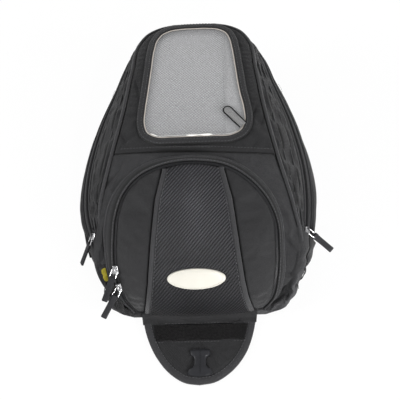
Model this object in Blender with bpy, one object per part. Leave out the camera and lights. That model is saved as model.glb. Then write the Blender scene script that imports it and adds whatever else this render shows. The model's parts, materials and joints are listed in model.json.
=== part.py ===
"""Motorcycle tank bag: a low rubberised base, a soft wall, an expansion collar, a hinged lid with a map
window, a D-shaped front pocket with its own door, and a magnet flap in front.

Metres, +Z up. The wide end with the pocket and the flap faces -Y, the narrow rider's end faces +Y, and
the origin is the middle of the underside of the base. The lid's skin is a sheet that follows the spine, a
curve in the YZ plane, so places on it are given as (x, s): x across, and s along the spine from its lower
front end.
"""

import math

import bmesh
import bpy
from mathutils import Matrix, Vector

# Driving dimensions -------------------------------------------------------------------------------
SPINE = ((-0.198, 0.008), (-0.192, 0.030), (-0.178, 0.058), (-0.150, 0.086), (-0.096, 0.120),
         (-0.038, 0.150), (0.060, 0.163), (0.150, 0.162), (0.207, 0.154))  # (y, z) of the lid's middle line
CROWN = 0.012           # how far the lid's skin falls from its middle to CROWN_HALF_WIDTH
CROWN_HALF_WIDTH = 0.13

# One row per station from the front corner to the rear: the lid's edge as (s, half width), then the top of
# the tub wall, its widest line and its foot, as points on the right-hand side.
STATIONS = (
    ((0.000, 0.092), (0.094, -0.2020, 0.0088), (0.096, -0.2035, 0.0056), (0.094, -0.2030, 0.0036)),
    ((0.012, 0.112), (0.1145, -0.1990, 0.0170), (0.116, -0.1990, 0.0100), (0.112, -0.1960, 0.0036)),
    ((0.034, 0.129), (0.1295, -0.1910, 0.0350), (0.131, -0.1890, 0.0200), (0.124, -0.1820, 0.0036)),
    ((0.084, 0.146), (0.1520, -0.1500, 0.0450), (0.151, -0.1480, 0.0310), (0.134, -0.1500, 0.0036)),
    ((0.158, 0.135), (0.1635, -0.0960, 0.0680), (0.168, -0.0900, 0.0470), (0.148, -0.0900, 0.0036)),
    ((0.220, 0.118), (0.1650, -0.0400, 0.0840), (0.171, -0.0360, 0.0550), (0.150, -0.0400, 0.0036)),
    ((0.312, 0.098), (0.1475, 0.0500, 0.1020), (0.157, 0.0500, 0.0640), (0.134, 0.0400, 0.0036)),
    ((0.382, 0.088), (0.1220, 0.1200, 0.1100), (0.134, 0.1200, 0.0660), (0.114, 0.1100, 0.0036)),
    ((0.438, 0.079), (0.1020, 0.1760, 0.1120), (0.108, 0.1800, 0.0620), (0.094, 0.1700, 0.0036)),
    ((0.458, 0.066), (0.0860, 0.2000, 0.1120), (0.090, 0.2040, 0.0600), (0.080, 0.1920, 0.0036)),
    ((0.468, 0.048), (0.0600, 0.2140, 0.1120), (0.062, 0.2170, 0.0590), (0.056, 0.2040, 0.0036)),
    ((0.472, 0.030), (0.0340, 0.2190, 0.1120), (0.034, 0.2210, 0.0580), (0.032, 0.2080, 0.0036)),
)
ZIP_END_STATION = 3     # the zips, the piping and the collar stop just behind this station, on both sides
PER_SPAN = 3            # steps from one station to the next

GAP = 0.0004            # between pieces that touch
WALL = 0.0030           # tub wall and collar, fabric on foam
LID_PANEL = 0.0022      # padded lid
LINING = 0.0010
SAME = 0.0005           # points closer than this along the spine share a row
SHEET_GAP = 0.0007      # between curved sheets whose points differ
FILM_LIFT, FILM = 0.0010, 0.0005
PIPING_R = 0.0024
PIPING_OUT, PIPING_LIFT = 0.0042, 0.0016    # the lid's piping: out from the lid's edge, and proud of it
TAB = 0.0009            # tabs and label sewn to the wall
WALL_DROP = 0.0022      # the wall's rim is this far under the line where the expansion zip starts
ZIP_HALF = 0.0036       # one tape of a zip with its row of teeth
ZIP_THICK = 0.0016
COLLAR_WIDTH = 0.0036
BASE_SHEET = 0.0026     # rubberised underside
BOARD = 0.0015
FOAM = 0.0050
MAGNET_R = 0.015
BASE_MAGNET_T = 0.0036
BOARD_FRONT, FOAM_FRONT = -0.190, -0.186    # they stop short of the lid's lower edge
FLAP_MAGNET_T = 0.0022
SHEET_OVERHANG, BOARD_INSET, FOAM_INSET = 0.0010, 0.0075, 0.0100    # from the foot of the wall
BASE_MAGNETS = {"front_right": (0.095, -0.135), "front_left": (-0.095, -0.135), "rear_right": (0.075, 0.125),
                "rear_left": (-0.075, 0.125)}

LID_AXIS = (0.0, -0.2065, 0.0070)       # lid and collar turn about this line along X
FLAP_AXIS = (0.0, -0.2060, 0.0085)      # the fold on the flap's upper face
POCKET_AXIS = (0.0, -0.2080, 0.0120)

# Outlines on the lid's skin, as (x, s) on the right-hand side
WINDOW = ((0.000, 0.254), (0.052, 0.254), (0.068, 0.260), (0.0745, 0.278), (0.070, 0.340), (0.062, 0.420),
          (0.054, 0.446), (0.040, 0.456), (0.000, 0.458))
BACKING_GROW, FILM_GROW, PIPING_GROW = 0.006, 0.0035, 0.0015    # out past the window's edge
BACKING = 0.0008
LINING_INSET = 0.010
PULL_TAB = ((0.0430, 0.2985), (0.0620, 0.2745), (0.0690, 0.2760), (0.0710, 0.2875), (0.0540, 0.3075),
            (0.0480, 0.3085), (0.0430, 0.3045))     # whole outline
PULL_TAB_T = 0.0008
POCKET = ((0.086, 0.004), (0.098, 0.022), (0.106, 0.050), (0.110, 0.088), (0.109, 0.128), (0.099, 0.165),
          (0.074, 0.193), (0.038, 0.207), (0.000, 0.210))
POCKET_SPAN = 3         # steps from one point of the pocket's outline to the next
POCKET_WALL_H = 0.0060  # how far the pocket's zip and the door's edge stand off the lid
POCKET_DOME_H = 0.0200  # how far the middle of its door does
POCKET_WALL_BAND = (0.0092, 0.0116)     # distances out from the pocket's outline
POCKET_WALL_TAPE = (0.0046, 0.0088)
POCKET_ZIP = 0.0044
POCKET_DOOR_TAPE = (0.0004, 0.0042)
DOOR = 0.0020
DOOR_ROWS, SIDE_COLUMNS, ACCENT_COLUMNS = 12, 3, 4
ACCENT_HALF = ((0.004, 0.079), (0.208, 0.042))    # (s, half width) of the panel down the pocket's middle
ACCENT_MARGIN = 0.010    # least width of the door beside it
ACCENT = 0.0008
ACCENT_PIPING_R = 0.0014
FLAP = ((0.0810, -0.2075), (0.0795, -0.2180), (0.0720, -0.2450), (0.0600, -0.2700), (0.0400, -0.2950),
        (0.0200, -0.3080), (0.0000, -0.3115))
FLAP_SHEET, FLAP_COVER = 0.0014, 0.0012     # rubber underneath, cloth on top
FLAP_BINDING_R = 0.0027
FLAP_INSET, FLAP_BINDING_INSET = 0.0062, 0.0029
FLAP_MAGNET_AT = (0.026, -0.252)
HOOK_STRIP = ((-0.064, -0.2455), (0.064, -0.2455), (0.068, -0.2215), (-0.068, -0.2215))
HOOK_STRIP_T = 0.0016
CATCH = ((0.0165, -0.2960), (0.0150, -0.2880), (0.0085, -0.2850), (0.0080, -0.2720), (0.0135, -0.2700),
         (0.0130, -0.2620), (0.0, -0.2600))
CATCH_T = 0.0042
BADGE = (0.0405, 0.0125, 0.0665)      # half width, half height and place along the spine
BADGE_LIFT, BADGE_T, BADGE_CROWN = 0.0020, 0.0016, 0.0008
SLIDER = (0.0110, 0.0080, 0.0020)   # length, width, thickness of a zip slider's plate
SLIDER_LIFT = 0.0018                # its travel is a chord of the zip's curve, so it stands off the tapes
POST = (0.0024, 0.0036, 0.0020)     # thickness and height of the slider's post, and how high its eye is
EYE_R = 0.0011
RING = (0.0138, 0.0084, 0.0007)     # width, length and wire radius of the ring between slider and pull
RING_CORNER = 0.0018
PULL = (0.0360, 0.0092, 0.0036)     # length, width, thickness of a rubber zip pull
PULL_OVERLAP = 0.0030               # from the ring's far side back to the pull's near end
PULL_CORNERS = (0.002, 0.003)
MAIN_SLIDER_AT, MAIN_SLIDER_TO = 14, 16             # points of a band line
POCKET_UPPER_AT, POCKET_UPPER_TO = 40, 37           # points of the pocket's outline
POCKET_LOWER_AT, POCKET_LOWER_TO = 42, 43
HANG = {"main_right": (0.70, -0.35, -0.62), "main_left": (-0.40, -0.52, -0.75),
        "pocket_upper": (-0.36, -0.76, -0.54), "pocket_lower": (-0.50, -0.72, -0.48)}

COLOURS = {
    "fabric": ((0.030, 0.030, 0.032), 0.90, 0.0),
    "rubber": ((0.018, 0.018, 0.018), 0.75, 0.0),
    "weave": ((0.045, 0.045, 0.050), 0.55, 0.0),
    "clear": ((0.75, 0.76, 0.78), 0.15, 0.0),
    "mesh": ((0.42, 0.42, 0.43), 0.80, 0.0),
    "metal": ((0.70, 0.70, 0.72), 0.25, 1.0),
    "magnet": ((0.35, 0.35, 0.37), 0.35, 1.0),
    "foam": ((0.10, 0.10, 0.11), 0.95, 0.0),
    "board": ((0.06, 0.06, 0.06), 0.50, 0.0),
    "plastic": ((0.025, 0.025, 0.028), 0.40, 0.0),
    "emblem": ((0.78, 0.77, 0.72), 0.35, 0.0),
    "label": ((0.55, 0.50, 0.06), 0.80, 0.0),
}


# Curves -------------------------------------------------------------------------------------------
def tangents(points):
    """A tangent at each point per unit of chord length."""
    steps = [(b - a).length for a, b in zip(points, points[1:])]
    found = []
    for i, point in enumerate(points):
        before = (point - points[i - 1]) / steps[i - 1] if i else None
        after = (points[i + 1] - point) / steps[i] if i < len(points) - 1 else None
        if before is None or after is None:
            found.append(after if before is None else before)
        else:
            share = steps[i - 1] / (steps[i - 1] + steps[i])
            found.append(before * (1 - share) + after * share)
    return found


def curve_through(points, per_span):
    """A smooth curve through the points, with per_span steps from each to the next."""
    points = [Vector(p) for p in points]
    slopes = tangents(points)
    found = []
    for a, b, ta, tb in zip(points, points[1:], slopes, slopes[1:]):
        length = (b - a).length
        for k in range(per_span):
            t = k / per_span
            found.append(
                a * (2 * t**3 - 3 * t**2 + 1)
                + b * (3 * t**2 - 2 * t**3)
                + ta * (length * (t**3 - 2 * t**2 + t))
                + tb * (length * (t**3 - t**2))
            )
    return found + [points[-1]]


def mirrored(right):
    """A right-hand path that ends on the middle line, carried on down the left-hand side."""
    middle = abs(right[-1][0]) < 1e-9
    left = [type(p)((-p[0], *p[1:])) for p in reversed(right[:-1] if middle else right)]
    return list(right) + left


def offset_outward(path, distance):
    """An (x, s) path that runs from right to left over the top, moved away from its inside."""
    found = []
    for i, point in enumerate(path):
        along = Vector(path[min(i + 1, len(path) - 1)]) - Vector(path[max(i - 1, 0)])
        found.append(Vector(point) + Vector((along.y, -along.x)).normalized() * distance)
    return found


def lerp_table(table, at):
    """Linear interpolation in a list of (position, value)."""
    for (a, va), (b, vb) in zip(table, table[1:]):
        if at <= b:
            return va + (vb - va) * max(0.0, (at - a) / (b - a))
    return table[-1][1]


def reach_table(outline):
    """(s, x) pairs of an outline's right-hand side, from low to high s."""
    return sorted((p[1], p[0]) for p in curve_through(outline, 4))


POCKET_REACH = reach_table(POCKET)


# The lid's skin -----------------------------------------------------------------------------------
SPINE_CURVE = curve_through(SPINE, 12)
SPINE_S = [0.0]
for here, after in zip(SPINE_CURVE, SPINE_CURVE[1:]):
    SPINE_S.append(SPINE_S[-1] + (after - here).length)


def spine_at(s):
    """(y, z) of the spine and its unit normal (y, z), pointing up and out."""
    s = min(max(s, 0.0), SPINE_S[-1] - 1e-6)
    i = next(k for k in range(1, len(SPINE_S)) if s < SPINE_S[k]) - 1
    share = (s - SPINE_S[i]) / (SPINE_S[i + 1] - SPINE_S[i])
    low = SPINE_CURVE[max(i - 1, 0)]
    high = SPINE_CURVE[min(i + 2, len(SPINE_CURVE) - 1)]
    along = (high - low).normalized()
    return SPINE_CURVE[i].lerp(SPINE_CURVE[i + 1], share), Vector((-along.y, along.x))


def skin(x, s, lift=0.0):
    """The point of the lid's skin at (x, s), raised by lift along its normal."""
    middle, normal = spine_at(s)
    crown = CROWN * (abs(x) / CROWN_HALF_WIDTH) ** 2.4 * (0.45 + 0.55 * min(1.0, s / 0.2))
    y, z = middle + normal * (lift - crown)
    return Vector((x, y, z))


# Rings round the bag, from the front's middle down the right-hand side to the rear's middle -------
def ring(points):
    """A right-hand run of stations, closed onto the middle line at both ends and smoothed."""
    points = [Vector(p) for p in points]
    first, last = points[0].copy(), points[-1].copy()
    first.x = last.x = 0.0
    smooth = curve_through(points, PER_SPAN)
    front = [first.lerp(points[0], k / PER_SPAN) for k in range(PER_SPAN)]
    rear = [points[-1].lerp(last, (k + 1) / PER_SPAN) for k in range(PER_SPAN)]
    return front + smooth + rear


LID_HALF_WIDTHS = curve_through([Vector(row[0]) for row in STATIONS], PER_SPAN)
EDGE_RING = ring([skin(row[0][1], row[0][0]) for row in STATIONS])
TOP_RING = ring([row[1] for row in STATIONS])
WIDE_RING = ring([row[2] for row in STATIONS])
FOOT_RING = ring([row[3] for row in STATIONS])
FIRST_ZIP = PER_SPAN * (ZIP_END_STATION + 1) + 1    # index in a ring where the zips and the collar start
LABEL_COLUMN = -FIRST_ZIP + 1                   # column of the wall's grid where the side label is sewn


def band_line(index, distance, lift=0.0):
    """A point between the lid's edge and the wall's rim: distance out from the edge, lift proud of it."""
    edge, top = EDGE_RING[index], TOP_RING[index]
    along = (top - edge).normalized()
    lower = min(index + 1, len(EDGE_RING) - 1)
    run = (EDGE_RING[lower] - EDGE_RING[max(index - 1, 0)]).normalized()
    proud = run.cross(along).normalized()
    if proud.z > 0:
        proud.negate()
    return edge + along * distance - proud * lift


def band_width(index):
    return (TOP_RING[index] - EDGE_RING[index]).length


def u_path(distance_at, lift=0.0):
    """A path round the sides and the rear, from the right-hand zip end to the left-hand one."""
    right = [band_line(i, distance_at(i), lift) for i in range(FIRST_ZIP, len(EDGE_RING))]
    right[-1].x = 0.0
    return mirrored(right)


# Building blocks ----------------------------------------------------------------------------------
def material(name):
    made = bpy.data.materials.get(name)
    if made is None:
        colour, roughness, metallic = COLOURS[name]
        made = bpy.data.materials.new(name)
        made.use_nodes = True
        shader = made.node_tree.nodes["Principled BSDF"]
        shader.inputs["Base Color"].default_value = (*colour, 1.0)
        shader.inputs["Roughness"].default_value = roughness
        shader.inputs["Metallic"].default_value = metallic
    return made


def add_object(name, data, look):
    made = bpy.data.objects.new(name, data)
    bpy.context.scene.collection.objects.link(made)
    data.materials.append(material(look))
    return made


def mesh_object(name, vertices, faces, look):
    mesh = bpy.data.meshes.new(name)
    mesh.from_pydata([tuple(v) for v in vertices], [], faces)
    mesh.validate()
    work = bmesh.new()
    work.from_mesh(mesh)
    bmesh.ops.recalc_face_normals(work, faces=work.faces)
    work.to_mesh(mesh)
    work.free()
    mesh.shade_smooth()
    mesh.set_sharp_from_angle(angle=math.radians(35))
    return add_object(name, mesh, look)


def shell(name, outer, inner, look, closed=False):
    """A solid between two grids of points, the outside and the inside of a skin, with the same shape."""
    rows, columns = len(outer), len(outer[0])
    vertices = [p for grid in (outer, inner) for row in grid for p in row]
    layer = rows * columns
    spans = columns if closed else columns - 1

    def at(side, i, j):
        return side * layer + i * columns + j % columns

    faces = []
    for i in range(rows - 1):
        for j in range(spans):
            faces.append((at(0, i, j), at(0, i, j + 1), at(0, i + 1, j + 1), at(0, i + 1, j)))
            faces.append((at(1, i, j), at(1, i + 1, j), at(1, i + 1, j + 1), at(1, i, j + 1)))
    for j in range(spans):
        for i in (0, rows - 1):
            faces.append((at(0, i, j), at(0, i, j + 1), at(1, i, j + 1), at(1, i, j)))
    if not closed:
        for i in range(rows - 1):
            for j in (0, columns - 1):
                faces.append((at(0, i, j), at(0, i + 1, j), at(1, i + 1, j), at(1, i, j)))
    return mesh_object(name, vertices, faces, look)


def plate(name, outline, low, high, look):
    """A flat plate with that (x, y) outline."""
    count = len(outline)
    vertices = [(x, y, z) for z in (low, high) for x, y in outline]
    faces = [tuple(range(count)), tuple(range(count, 2 * count))]
    faces += [(i, (i + 1) % count, count + (i + 1) % count, count + i) for i in range(count)]
    return mesh_object(name, vertices, faces, look)


def tube(name, points, radius, look, closed=False):
    """A round cord, such as a piping, through the points."""
    curve = bpy.data.curves.new(name, "CURVE")
    curve.dimensions = "3D"
    curve.bevel_depth = radius
    curve.bevel_resolution = 1
    curve.use_fill_caps = True
    spline = curve.splines.new("POLY")
    spline.points.add(len(points) - 1)
    for place, point in zip(spline.points, points):
        place.co = (*point, 1.0)
    spline.use_cyclic_u = closed
    return add_object(name, curve, look)


def disc(name, centre, radius, low, high, look, sides=16):
    turns = [2 * math.pi * k / sides for k in range(sides)]
    outline = [(centre[0] + radius * math.cos(a), centre[1] + radius * math.sin(a)) for a in turns]
    return plate(name, outline, low, high, look)


def drape(name, outline, place, low, high, look, crown=0.0):
    """A thin piece laid on a surface: place(u, v, lift) gives its points."""
    count = len(outline)
    centre = sum((Vector(p) for p in outline), Vector((0.0, 0.0))) / count
    vertices = [place(u, v, lift) for lift in (low, high) for u, v in outline]
    vertices += [place(centre.x, centre.y, low), place(centre.x, centre.y, high + crown)]
    faces = []
    for i in range(count):
        j = (i + 1) % count
        faces += [(i, j, count + j, count + i), (j, i, 2 * count), (count + i, count + j, 2 * count + 1)]
    return mesh_object(name, vertices, faces, look)


def cut(target, cutter):
    cutter.hide_render = True
    cutter.display_type = "WIRE"
    modifier = target.modifiers.new("cut_" + cutter.name, "BOOLEAN")
    modifier.operation = "DIFFERENCE"
    modifier.object = cutter


def frame_of(point, along, up):
    """A matrix whose X runs along, Z as near up as it can, and whose origin is the point."""
    x = Vector(along).normalized()
    y = Vector(up).cross(x).normalized()
    z = x.cross(y)
    matrix = Matrix((x, y, z)).transposed().to_4x4()
    matrix.translation = point
    return matrix


# The base -----------------------------------------------------------------------------------------
def ring_outline(points, inset, front=-1.0):
    """A ring seen from above as a closed outline, moved inwards and cut off in front."""
    whole = mirrored(points)[:-1] if abs(points[-1].x) > 1e-9 else mirrored(points)
    whole = whole[:-1] if (whole[0] - whole[-1]).length < 1e-6 else whole
    flat = [Vector((p.x, p.y)) for p in whole]
    found = []
    for i, point in enumerate(flat):
        along = flat[(i + 1) % len(flat)] - flat[i - 1]
        moved = point + Vector((-along.y, along.x)).normalized() * inset
        found.append(Vector((moved.x, max(moved.y, front))))
    return found


def make_base():
    plate("base_sheet", ring_outline(FOOT_RING, -SHEET_OVERHANG), 0.0, BASE_SHEET, "rubber")
    board_low = BASE_SHEET + BASE_MAGNET_T + 2 * GAP
    board = ring_outline(FOOT_RING, BOARD_INSET, BOARD_FRONT)
    plate("base_board", board, board_low, board_low + BOARD, "board")
    foam_low = board_low + BOARD + GAP
    plate("base_foam", ring_outline(FOOT_RING, FOAM_INSET, FOAM_FRONT), foam_low, foam_low + FOAM, "foam")
    low = BASE_SHEET + GAP
    for where, centre in BASE_MAGNETS.items():
        disc("base_magnet_" + where, centre, MAGNET_R, low, low + BASE_MAGNET_T, "magnet")


# The wall and the collar --------------------------------------------------------------------------
def loft(lower, middle, upper, steps):
    """Rows of points from the lower ring to the upper one, bowed through the middle one."""
    rows = []
    for k in range(steps + 1):
        t = k / steps
        rows.append([
            a * ((1 - t) * (1 - 2 * t)) + b * (4 * t * (1 - t)) + c * (t * (2 * t - 1))
            for a, b, c in zip(lower, middle, upper)
        ])
    return rows


def closed_ring(half):
    """A half ring with its mirror image, as one loop."""
    return list(half) + [Vector((-p.x, p.y, p.z)) for p in reversed(half[1:-1])]


def inward(rows, thickness, closed):
    """The grid moved to its inside by thickness, square to its faces."""
    count, width = len(rows), len(rows[0])
    found = []
    for i in range(count):
        moved = []
        for j in range(width):
            up = rows[min(i + 1, count - 1)][j] - rows[max(i - 1, 0)][j]
            after = rows[i][(j + 1) % width] if closed else rows[i][min(j + 1, width - 1)]
            before = rows[i][j - 1] if closed else rows[i][max(j - 1, 0)]
            normal = (after - before).cross(up).normalized()
            moved.append(rows[i][j] - normal * thickness)
        found.append(moved)
    return found


def wall_rows():
    rim = [Vector((p.x, p.y, p.z - WALL_DROP)) for p in TOP_RING]
    return loft(closed_ring(FOOT_RING), closed_ring(WIDE_RING), closed_ring(rim), 4)


def wall_patch(name, rows, column, columns, span, look):
    """A tab of cloth on the outside of the wall, over whole cells of its grid."""
    low, high = (inward(rows, -lift, True) for lift in (GAP, GAP + TAB))
    chosen = range(column, column + columns + 1)
    grids = [[[row[j] for j in chosen] for row in grid[span[0] : span[1] + 1]] for grid in (high, low)]
    return shell(name, grids[0], grids[1], look)


def make_wall():
    rows = wall_rows()
    shell("tub_wall", rows, inward(rows, WALL, True), "fabric", closed=True)
    last = len(rows[0]) - FIRST_ZIP
    gusset = [row[FIRST_ZIP : last + 1] for row in inward(rows, WALL + GAP, True)[3:]]
    inside = [row[FIRST_ZIP : last + 1] for row in inward(rows, WALL + GAP + LINING, True)[3:]]
    shell("expansion_gusset", gusset, inside, "fabric")
    wall_patch("side_label", rows, LABEL_COLUMN, 1, (2, 3), "label")
    wall_patch("zip_end_tab_left", rows, -FIRST_ZIP - 1, 1, (3, 4), "fabric")
    wall_patch("zip_end_tab_right", rows, FIRST_ZIP, 1, (3, 4), "fabric")


def strip(name, from_distance, to_distance, thickness, look, rows=1):
    """A band between two lines round the sides and the rear."""
    outer = []
    for k in range(rows + 1):
        t = k / rows
        outer.append(u_path(lambda i: from_distance(i) * (1 - t) + to_distance(i) * t))
    inner = []
    for k in range(rows + 1):
        t = k / rows
        inner.append(u_path(lambda i: from_distance(i) * (1 - t) + to_distance(i) * t, -thickness))
    return shell(name, outer, inner, look)


BANDS = ("expansion_zip_tub_tape", "expansion_zip_collar_tape", "collar_band", "main_zip_collar_tape",
         "main_zip_lid_tape")       # from the wall's rim up


def make_bands():
    """From the wall's rim up to the lid: expansion zip, collar, main zip, the lid's side and its piping."""
    def from_rim(distance):
        return lambda i: band_width(i) - distance

    edge = 0.0
    for name in BANDS:
        width, thickness, look = ZIP_HALF, ZIP_THICK, "weave"
        if name == "collar_band":
            width, thickness, look = COLLAR_WIDTH, WALL, "fabric"
        strip(name, from_rim(edge + width), from_rim(edge), thickness, look)
        edge += width + GAP
    piping = PIPING_OUT + PIPING_R + GAP
    strip("lid_side", lambda i: piping, from_rim(edge), WALL, "fabric", rows=2)
    tube("lid_piping", u_path(lambda i: PIPING_OUT, PIPING_LIFT), PIPING_R, "fabric")
    return edge - GAP - ZIP_HALF - GAP / 2


# The lid ------------------------------------------------------------------------------------------
def half_width(s):
    return lerp_table([tuple(p) for p in LID_HALF_WIDTHS], s)


def lid_sheet(name, high, low, look, inset=0.0, columns=10, step=1):
    """The whole lid between two lifts, with a row of points at each step of its edge."""
    first, last = LID_HALF_WIDTHS[0][0] + inset, LID_HALF_WIDTHS[-1][0] - inset
    between = [s for s, _ in LID_HALF_WIDTHS if first + 2 * SAME < s < last - 2 * SAME]
    places = [first, *between[::step], last]
    grids = []
    for lift in (high, low):
        grid = []
        for s in places:
            half = half_width(s) - inset
            grid.append([skin(half * (2 * j / columns - 1), s, lift) for j in range(columns + 1)])
        grids.append(grid)
    return shell(name, grids[0], grids[1], look)


def window_loop(grow=0.0):
    right = [Vector(p) for p in curve_through(WINDOW, 2)]
    loop = mirrored(right)
    loop = loop[:-1] if (loop[0] - loop[-1]).length < 1e-6 else loop
    centre = Vector((0.0, 0.356))
    return [p + (p - centre).normalized() * grow for p in loop]


def window_sheet(name, grow, high, low, look):
    """A sheet with the window's outline, between two lifts."""
    loop = window_loop(grow)
    half = [(p.y, p.x) for p in loop[: len(loop) // 2 + 1]]
    lowest, highest = half[0][0], half[-1][0]
    middle = [row for row in half if lowest + SAME < row[0] < highest - SAME]
    first = [row for row in half if row[0] <= lowest + SAME][-1]
    last = [row for row in half if row[0] >= highest - SAME][0]
    table = [(lowest, first[1]), *middle, (highest, last[1])]
    across = [2 * j / 6 - 1 for j in range(7)]
    grids = [[[skin(h * u, s, lift) for u in across] for s, h in table] for lift in (high, low)]
    return shell(name, grids[0], grids[1], look)


def make_lid():
    panel = lid_sheet("lid_panel", 0.0, -LID_PANEL, "fabric")
    loop = window_loop()
    outer = [skin(p.x, p.y, 0.02) for p in loop]
    inner = [skin(p.x, p.y, -0.02) for p in loop]
    count = len(loop)
    faces = [tuple(range(count)), tuple(range(count, 2 * count))]
    faces += [(i, (i + 1) % count, count + (i + 1) % count, count + i) for i in range(count)]
    cut(panel, mesh_object("window_cutter", outer + inner, faces, "fabric"))
    backing = LID_PANEL + SHEET_GAP
    window_sheet("map_backing", BACKING_GROW, -backing, -backing - BACKING, "mesh")
    window_sheet("map_film", FILM_GROW, FILM_LIFT + FILM, FILM_LIFT, "clear")
    lift = FILM_LIFT + FILM + GAP + PIPING_R
    path = [skin(p.x, p.y, lift) for p in window_loop(PIPING_GROW)]
    tube("window_piping", path, PIPING_R, "fabric", closed=True)
    lining = backing + BACKING + SHEET_GAP
    lid_sheet("lid_lining", -lining, -lining - LINING, "fabric", inset=LINING_INSET, columns=6, step=2)
    lift = FILM_LIFT + FILM + SHEET_GAP
    drape("map_pull_tab", [Vector(p) for p in PULL_TAB], skin, lift, lift + PULL_TAB_T, "fabric")


# The front pocket ---------------------------------------------------------------------------------
def pocket_path(distance):
    """The pocket's outline, from the lower right over the arch to the lower left, moved outwards."""
    return offset_outward(mirrored(curve_through(POCKET, POCKET_SPAN)), distance)


def pocket_band(name, distances, low, high, look):
    """A band that follows the pocket's outline, between two distances out from it and two lifts."""
    paths = [pocket_path(distance) for distance in distances]
    upper, lower = [[[skin(p.x, p.y, lift) for p in path] for path in paths] for lift in (high, low)]
    return shell(name, upper, lower, look)


def pocket_reach(s):
    """The half width of the pocket at s."""
    return max(lerp_table(POCKET_REACH, s), 0.010)


def door_point(x, s, lift=0.0):
    """A point of the pocket door's outside."""
    across = max(0.0, 1 - (abs(x) / pocket_reach(s)) ** 2)
    along = min(1.0, (POCKET_REACH[-1][0] - s) / 0.11, 0.12 + s / 0.045)
    share = across * max(0.0, along)
    return skin(x, s, POCKET_WALL_H + (POCKET_DOME_H - POCKET_WALL_H) * (1 - (1 - share) ** 2.2) + lift)


def door_grid(lift, inset=GAP):
    """Rows of points on the door, with the accent panel's edges in its columns."""
    low, high = POCKET_REACH[0][0], POCKET_REACH[-1][0] - inset
    grid = []
    for i in range(DOOR_ROWS + 1):
        s = low + (high - low) * (1 - (1 - i / DOOR_ROWS) ** 1.6)
        half = pocket_reach(s) - inset
        accent = min(lerp_table(ACCENT_HALF, s), half - ACCENT_MARGIN)
        side = [half + (accent - half) * k / SIDE_COLUMNS for k in range(SIDE_COLUMNS)]
        middle = [accent * (2 * k / ACCENT_COLUMNS - 1) for k in range(ACCENT_COLUMNS + 1)]
        grid.append([door_point(x, s, lift) for x in [-x for x in side] + middle + side[::-1]])
    return grid


def accent_cells(lift):
    return [row[SIDE_COLUMNS : SIDE_COLUMNS + ACCENT_COLUMNS + 1] for row in door_grid(lift)[:-1]]


def make_pocket():
    top = POCKET_WALL_H
    tape = top - ZIP_THICK
    pocket_band("pocket_wall", POCKET_WALL_BAND, GAP, top, "fabric")
    pocket_band("pocket_zip_wall_tape", POCKET_WALL_TAPE, tape, top, "weave")
    pocket_band("pocket_zip_door_tape", POCKET_DOOR_TAPE, tape, top, "weave")
    shell("pocket_door", door_grid(0.0), door_grid(-DOOR), "fabric")
    shell("accent_panel", accent_cells(GAP + ACCENT), accent_cells(GAP), "weave")
    for column, name in ((-1, "accent_piping_right"), (0, "accent_piping_left")):
        points = [row[column] for row in accent_cells(ACCENT + 2 * GAP + ACCENT_PIPING_R)]
        tube(name, points, ACCENT_PIPING_R, "fabric")
    half_width, half_height, middle = BADGE
    turns = [2 * math.pi * k / 24 for k in range(24)]
    oval = [Vector((half_width * math.cos(a), middle + half_height * math.sin(a))) for a in turns]
    drape("badge", oval, door_point, BADGE_LIFT, BADGE_LIFT + BADGE_T, "emblem", crown=BADGE_CROWN)


# The magnet flap ----------------------------------------------------------------------------------
def flap_outline(inset):
    right = [Vector(p) for p in curve_through(FLAP, 3)]
    path = mirrored(right)
    found = []
    for i, point in enumerate(path):
        along = path[min(i + 1, len(path) - 1)] - path[max(i - 1, 0)]
        found.append(point + Vector((along.y, -along.x)).normalized() * inset)
    found[0].y = found[-1].y = FLAP[0][1]
    return found


def make_flap():
    cover_low = FLAP_SHEET + FLAP_MAGNET_T + 2 * GAP
    top = cover_low + FLAP_COVER + GAP
    inner = flap_outline(FLAP_INSET)
    plate("flap_lower_sheet", inner, 0.0, FLAP_SHEET, "rubber")
    plate("flap_upper_sheet", inner, cover_low, cover_low + FLAP_COVER, "fabric")
    path = [Vector((p.x, p.y, FLAP_BINDING_R)) for p in flap_outline(FLAP_BINDING_INSET)]
    tube("flap_binding", path, FLAP_BINDING_R, "fabric")
    across, forward = FLAP_MAGNET_AT
    for side, name in ((1, "flap_magnet_right"), (-1, "flap_magnet_left")):
        low = FLAP_SHEET + GAP
        disc(name, (across * side, forward), MAGNET_R, low, low + FLAP_MAGNET_T, "magnet")
    plate("hook_strip", HOOK_STRIP, top, top + HOOK_STRIP_T, "fabric")
    plate("strap_catch", mirrored([Vector(p) for p in CATCH]), top, top + CATCH_T, "plastic")


# Zip sliders and their pulls ----------------------------------------------------------------------
def placed(name, vertices, faces, matrix, look):
    return mesh_object(name, [matrix @ Vector(v) for v in vertices], faces, look)


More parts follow.
